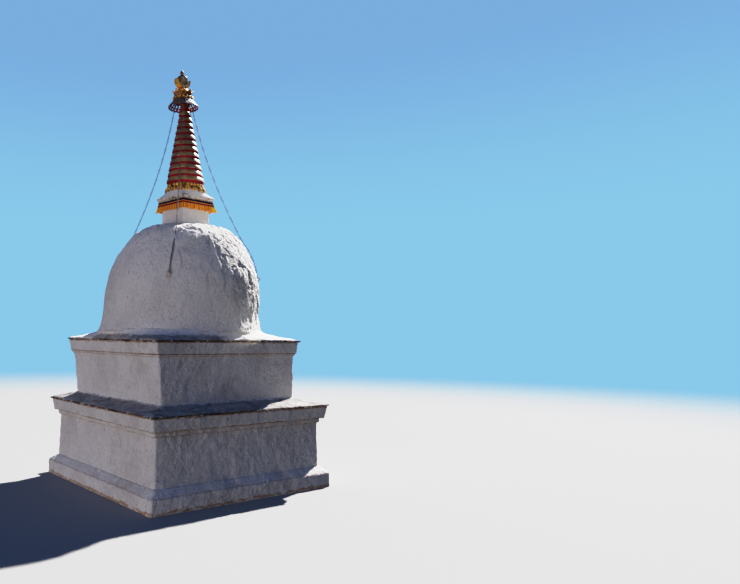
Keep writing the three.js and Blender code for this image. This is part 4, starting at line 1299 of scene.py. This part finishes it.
def jewel():
    """A small gilt drop that ends in a point."""
    low, high = heights("jewel")
    finish = flaking_paint("jewel_gold", GILT_WORN, GILT_DARK, roughness=0.45, specular=0.3)
    profile = ((0.020, 0.0), (0.034, 0.12), (0.045, 0.36), (0.040, 0.55), (0.026, 0.75), (0.010, 0.93),
               (0.002, 1.0))
    levels = [(radius, mix(low, high, share)) for radius, share in profile]
    rows = round_rows(levels, count=32, shift=TIP_SHIFT)
    add_piece("jewel_gilt", stack(rows), [finish], "gilt_metal", "jewel")


# The stays.

def stay_angles():
    return [math.radians(FIRST_CORNER + UPPER_TURN + 90 * k) for k in range(4)]


def stay_point(angle, z):
    """A point of a stay's line: on the dome below where they meet, and a shallow sag above."""
    share = max(0.0, (z - STAY_MEET_Z) / (STAY_TOP_Z - STAY_MEET_Z))
    lying = dome_radius(min(z, STAY_MEET_Z)) + STAY_LIFT
    reach = mix(lying, STAY_TOP_RADIUS, share) - 4 * STAY_SAG * share * (1 - share)
    middle = SHIFT_WAY * mix(dome_shift(min(z, STAY_MEET_Z)), UMBRELLA_SHIFT, share)
    return np.array((*(middle + reach * level_way(angle)), z))


def link(centre, way, side):
    """One long link of bent bar."""
    straight = (LINK_LENGTH - LINK_WIDTH) / 2
    bend = LINK_WIDTH / 2 - LINK_WIRE
    loop = []
    for end in (1, -1):
        for turn in np.linspace(-math.pi / 2, math.pi / 2, 6):
            corner = way * (straight + bend * math.cos(turn)) + side * bend * math.sin(turn)
            loop.append(centre + end * corner)
    return tube(loop, LINK_WIRE, sides=6, closed=True)


def stays(finish):
    """A chain along each stay's line, each link a quarter turn round from the last."""
    pitch = LINK_LENGTH - 2.6 * LINK_WIRE
    levels = np.linspace(STAY_TOP_Z, ANCHOR_Z + ANCHOR_HEIGHT / 2, 300)
    for name, angle in zip(SIDES, stay_angles()):
        line = np.array([stay_point(angle, z) for z in levels])
        lengths = lengths_along(line)
        count = int(round(lengths[-1] / pitch))
        ends = points_at(line, lengths, np.linspace(0, lengths[-1], count + 1))
        across = np.array((-math.sin(angle), math.cos(angle), 0))
        parts = []
        for k, (start, end) in enumerate(zip(ends, ends[1:])):
            way = unit(end - start)
            parts.append(link((start + end) / 2, way, across if k % 2 else np.cross(way, across)))
        add_piece(f"stay_chain_{name}", joined(parts), [finish], "iron", f"stay_{name}")


def anchors(finish):
    """The rusty eye that each stay ends in, set in a daub on the dome."""
    earth = flaking_paint("anchor_daub", LIME_SOILED, OCHRE_STAIN, roughness=0.9)
    radius = dome_radius(ANCHOR_Z)
    daub = ellipsoid((radius + 0.004, 0, ANCHOR_Z - 0.012), (0.026, 0.036, 0.042))
    around = turns(16)
    hoop = np.column_stack((radius + 0.030 + 0.020 * np.cos(around), 0 * around,
                            ANCHOR_Z + 0.012 + 0.026 * np.sin(around)))
    eye = tube(hoop, radius=0.007, sides=8, closed=True)
    zones = [1] * len(daub[1]) + [0] * len(eye[1])
    for name, angle in zip(SIDES, stay_angles()):
        points, faces = placed(joined([daub, eye]), angle, dome_shift(ANCHOR_Z))
        points[:, :2] += 0.003 * rough(points, 0.03, 2, seed=113)[:, None]
        add_piece(f"anchor_eye_{name}", (points, faces), [finish, earth], "iron", f"anchor_{name}",
                  zones=zones)


# The stage.

def exposure_curve():
    """Rolls the brightest tones off softly, and leaves the rest as they are."""
    view = bpy.context.scene.view_settings
    view.view_transform = "Standard"
    view.use_curve_mapping = True
    mapping = view.curve_mapping
    mapping.clip_max_x = mapping.clip_max_y = ROLL_OFF[-1][0]
    mapping.extend = "HORIZONTAL"
    for curve in mapping.curves[:3]:
        curve.points[0].location = (0, 0)
        curve.points[1].location = ROLL_OFF[-1]
        for place in ROLL_OFF[:-1]:
            curve.points.new(*place)
        for point in curve.points:
            point.handle_type = "VECTOR"
    mapping.update()


def camera():
    """The camera that sees the stupa as the photo does."""
    yaw, pitch, roll = (math.radians(angle) for angle in (CAMERA_YAW, CAMERA_PITCH, CAMERA_ROLL))
    ahead = Vector((math.sin(yaw) * math.cos(pitch), math.cos(yaw) * math.cos(pitch), math.sin(pitch)))
    flat = Vector((math.cos(yaw), -math.sin(yaw), 0))
    up = flat.cross(ahead)
    side = flat * math.cos(roll) + up * math.sin(roll)
    top = up * math.cos(roll) - flat * math.sin(roll)
    data = bpy.data.cameras.new("camera")
    data.sensor_width = SENSOR
    data.lens = FOCAL_PIXELS / PHOTO_WIDTH * SENSOR
    data.shift_x = 0.5 - PRINCIPAL_X / PHOTO_WIDTH
    data.clip_end = 500.0
    made = add_object("camera", data)
    facing = Matrix((side, top, -ahead)).transposed().to_4x4()
    made.matrix_world = Matrix.Translation(CAMERA_PLACE) @ facing
    bpy.context.scene.camera = made


def lamp(name, kind, towards, energy, colour, place=None, **settings):
    """A light that shines from the way given, from far off or from its own place."""
    data = bpy.data.lights.new(name, kind)
    data.energy = energy
    data.color = colour
    for key, value in settings.items():
        setattr(data, key, value)
    made = add_object(name, data)
    towards = Vector(towards).normalized()
    made.location = place or Vector((0, 0, LAMP_AIM_Z)) + towards * LAMP_DISTANCE
    made.rotation_mode = "QUATERNION"
    made.rotation_quaternion = towards.to_track_quat("Z", "Y")
    made.visible_camera = False


def spot(name, towards, aim, energy, width, size):
    """A soft round light on one part of the stupa, such as bright ground beside it throws."""
    place = Vector(aim) + Vector(towards).normalized() * SPOT_DISTANCE
    lamp(name, "SPOT", towards, energy, (1.0, 0.97, 0.95), place, shadow_soft_size=size,
         spot_size=math.radians(width), spot_blend=0.9)


def lights():
    """A strong key from the right and behind, soft fill from the left, and a dim sky all round."""
    azimuth, elevation = math.radians(KEY_AZIMUTH), math.radians(KEY_ELEVATION)
    key_way = (math.sin(azimuth) * math.cos(elevation), math.cos(azimuth) * math.cos(elevation),
               math.sin(elevation))
    lamp("key", "SUN", key_way, KEY_ENERGY, (1.0, 0.97, 0.93), angle=math.radians(KEY_ANGLE))
    lamp("fill", "AREA", (-0.935, -0.22, -0.15), 11000.0, (1.0, 0.92, 0.94), shape="RECTANGLE",
         size=21.0, size_y=17.0)
    spot("top_fill", (0.10, -0.98, -0.14), aim=(0, 0, 6.02), energy=4800.0, width=7.2, size=0.8)
    spot("bounce", (0.62, -0.76, -0.02), aim=(0.9, -0.9, 3.3), energy=1500.0, width=9, size=2.0)
    lamp("ledge_glow", "AREA", (0.3, -0.64, -0.7), 0.9, (1.0, 0.97, 0.90), (0.40, -2.02, 3.12), size=0.7)
    world = bpy.data.worlds.new("world")
    bpy.context.scene.world = world
    world.use_nodes = True
    tree = world.node_tree
    split = tree.nodes.new("ShaderNodeSeparateXYZ")
    ramp = tree.nodes.new("ShaderNodeValToRGB")
    tree.links.new(tree.nodes.new("ShaderNodeTexCoord").outputs["Generated"], split.inputs[0])
    tree.links.new(split.outputs["Z"], ramp.inputs[0])
    tree.links.new(ramp.outputs[0], tree.nodes["Background"].inputs["Color"])
    for element, colour in zip(ramp.color_ramp.elements, (WORLD_LOW, WORLD_HIGH)):
        element.color = (*colour, 1)


def floor():
    """A pale floor that curves up far off into a plain backdrop, which gives off its own light."""
    profile = ((0.5, 0.0), (20.0, 0.0), (44.0, 0.0), (52.0, 1.6), (58.0, 6.0), (61.0, 14.0), (62.0, 30.0),
               (60.0, 60.0), (40.0, 85.0), (1.0, 95.0))
    ground = Finish("floor", roughness=0.9, specular=0.1)
    ground.plug(ground.shader.inputs["Base Color"], FLOOR_COLOUR)
    sky = ground.mix(ground.span(ground.height, 14.0, 38.0), SKY_LOW, SKY_HIGH)
    glow = ground.node("Emission", Color=sky, Strength=1.0).outputs[0]
    far = ground.node("VectorMath", {"operation": "LENGTH"}, {0: ground.place}).outputs["Value"]
    blend = ground.node("MixShader", feeds={0: ground.span(far, 16.0, 42.0), 1: ground.shader.outputs[0],
                                            2: glow})
    ground.plug(ground.tree.nodes["Material Output"].inputs["Surface"], blend.outputs[0])
    rows = np.array([level(circle(radius, 96, start=0), z - 0.002) for radius, z in profile])
    made = add_mesh("floor", stack(rows), [ground.material])
    made.visible_diffuse = made.visible_glossy = made.visible_shadow = False


exposure_curve()
camera()
lights()
floor()
base_step()
lower_terrace()
upper_terrace()
dome()
harmika()
valance()
crimson = flaking_paint("crimson", CRIMSON, CRIMSON_OLD, roughness=0.8, specular=0.15)
# Red-brown for the collar, also used on the top ring as painted shade under the umbrella, with a painted
# reflection of its red inside.
collar_red_and_painted_shade = flaking_paint("collar_red_and_painted_shade", COLLAR_RED_AND_PAINTED_SHADE, CRIMSON_OLD, roughness=0.7, specular=0.2)
gilt = gilt_clay()
spire_rings(crimson, collar_red_and_painted_shade)
spire_core(crimson)
spire_lotus(gilt)
spire_beads(gilt)
spire_collar(collar_red_and_painted_shade)
pale_tin = sooty_tin()
under_red = flaking_paint("under_red", UNDER_RED, CRIMSON_OLD, roughness=0.6)
canopy_sheet(pale_tin, under_red)
fringe(pale_tin, under_red)
finial_beads(gilt)
finial_lotus()
rim_gold = flaking_paint("rim_gold", GILT, GILT_WORN, roughness=0.40, metallic=0.25)
dull_face = flaking_paint("dull_face", GREEN_GREY, TIN_DIRT, roughness=0.9, specular=0.1)
dark_rim = flaking_paint("dark_rim", TIN_DIRT, SLATE_DARK, roughness=0.4, metallic=0.5)
crescent(rim_gold, dull_face)
sun(dark_rim, dull_face)
jewel()
iron_finish = iron()
stays(iron_finish)
anchors(iron_finish)
# These two CAD parts have no finer shape here, only their iron.
for kept in ("stay_hub", "umbrella_spindle"):
    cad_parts[kept].data.materials.clear()
    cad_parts[kept].data.materials.append(iron_finish)
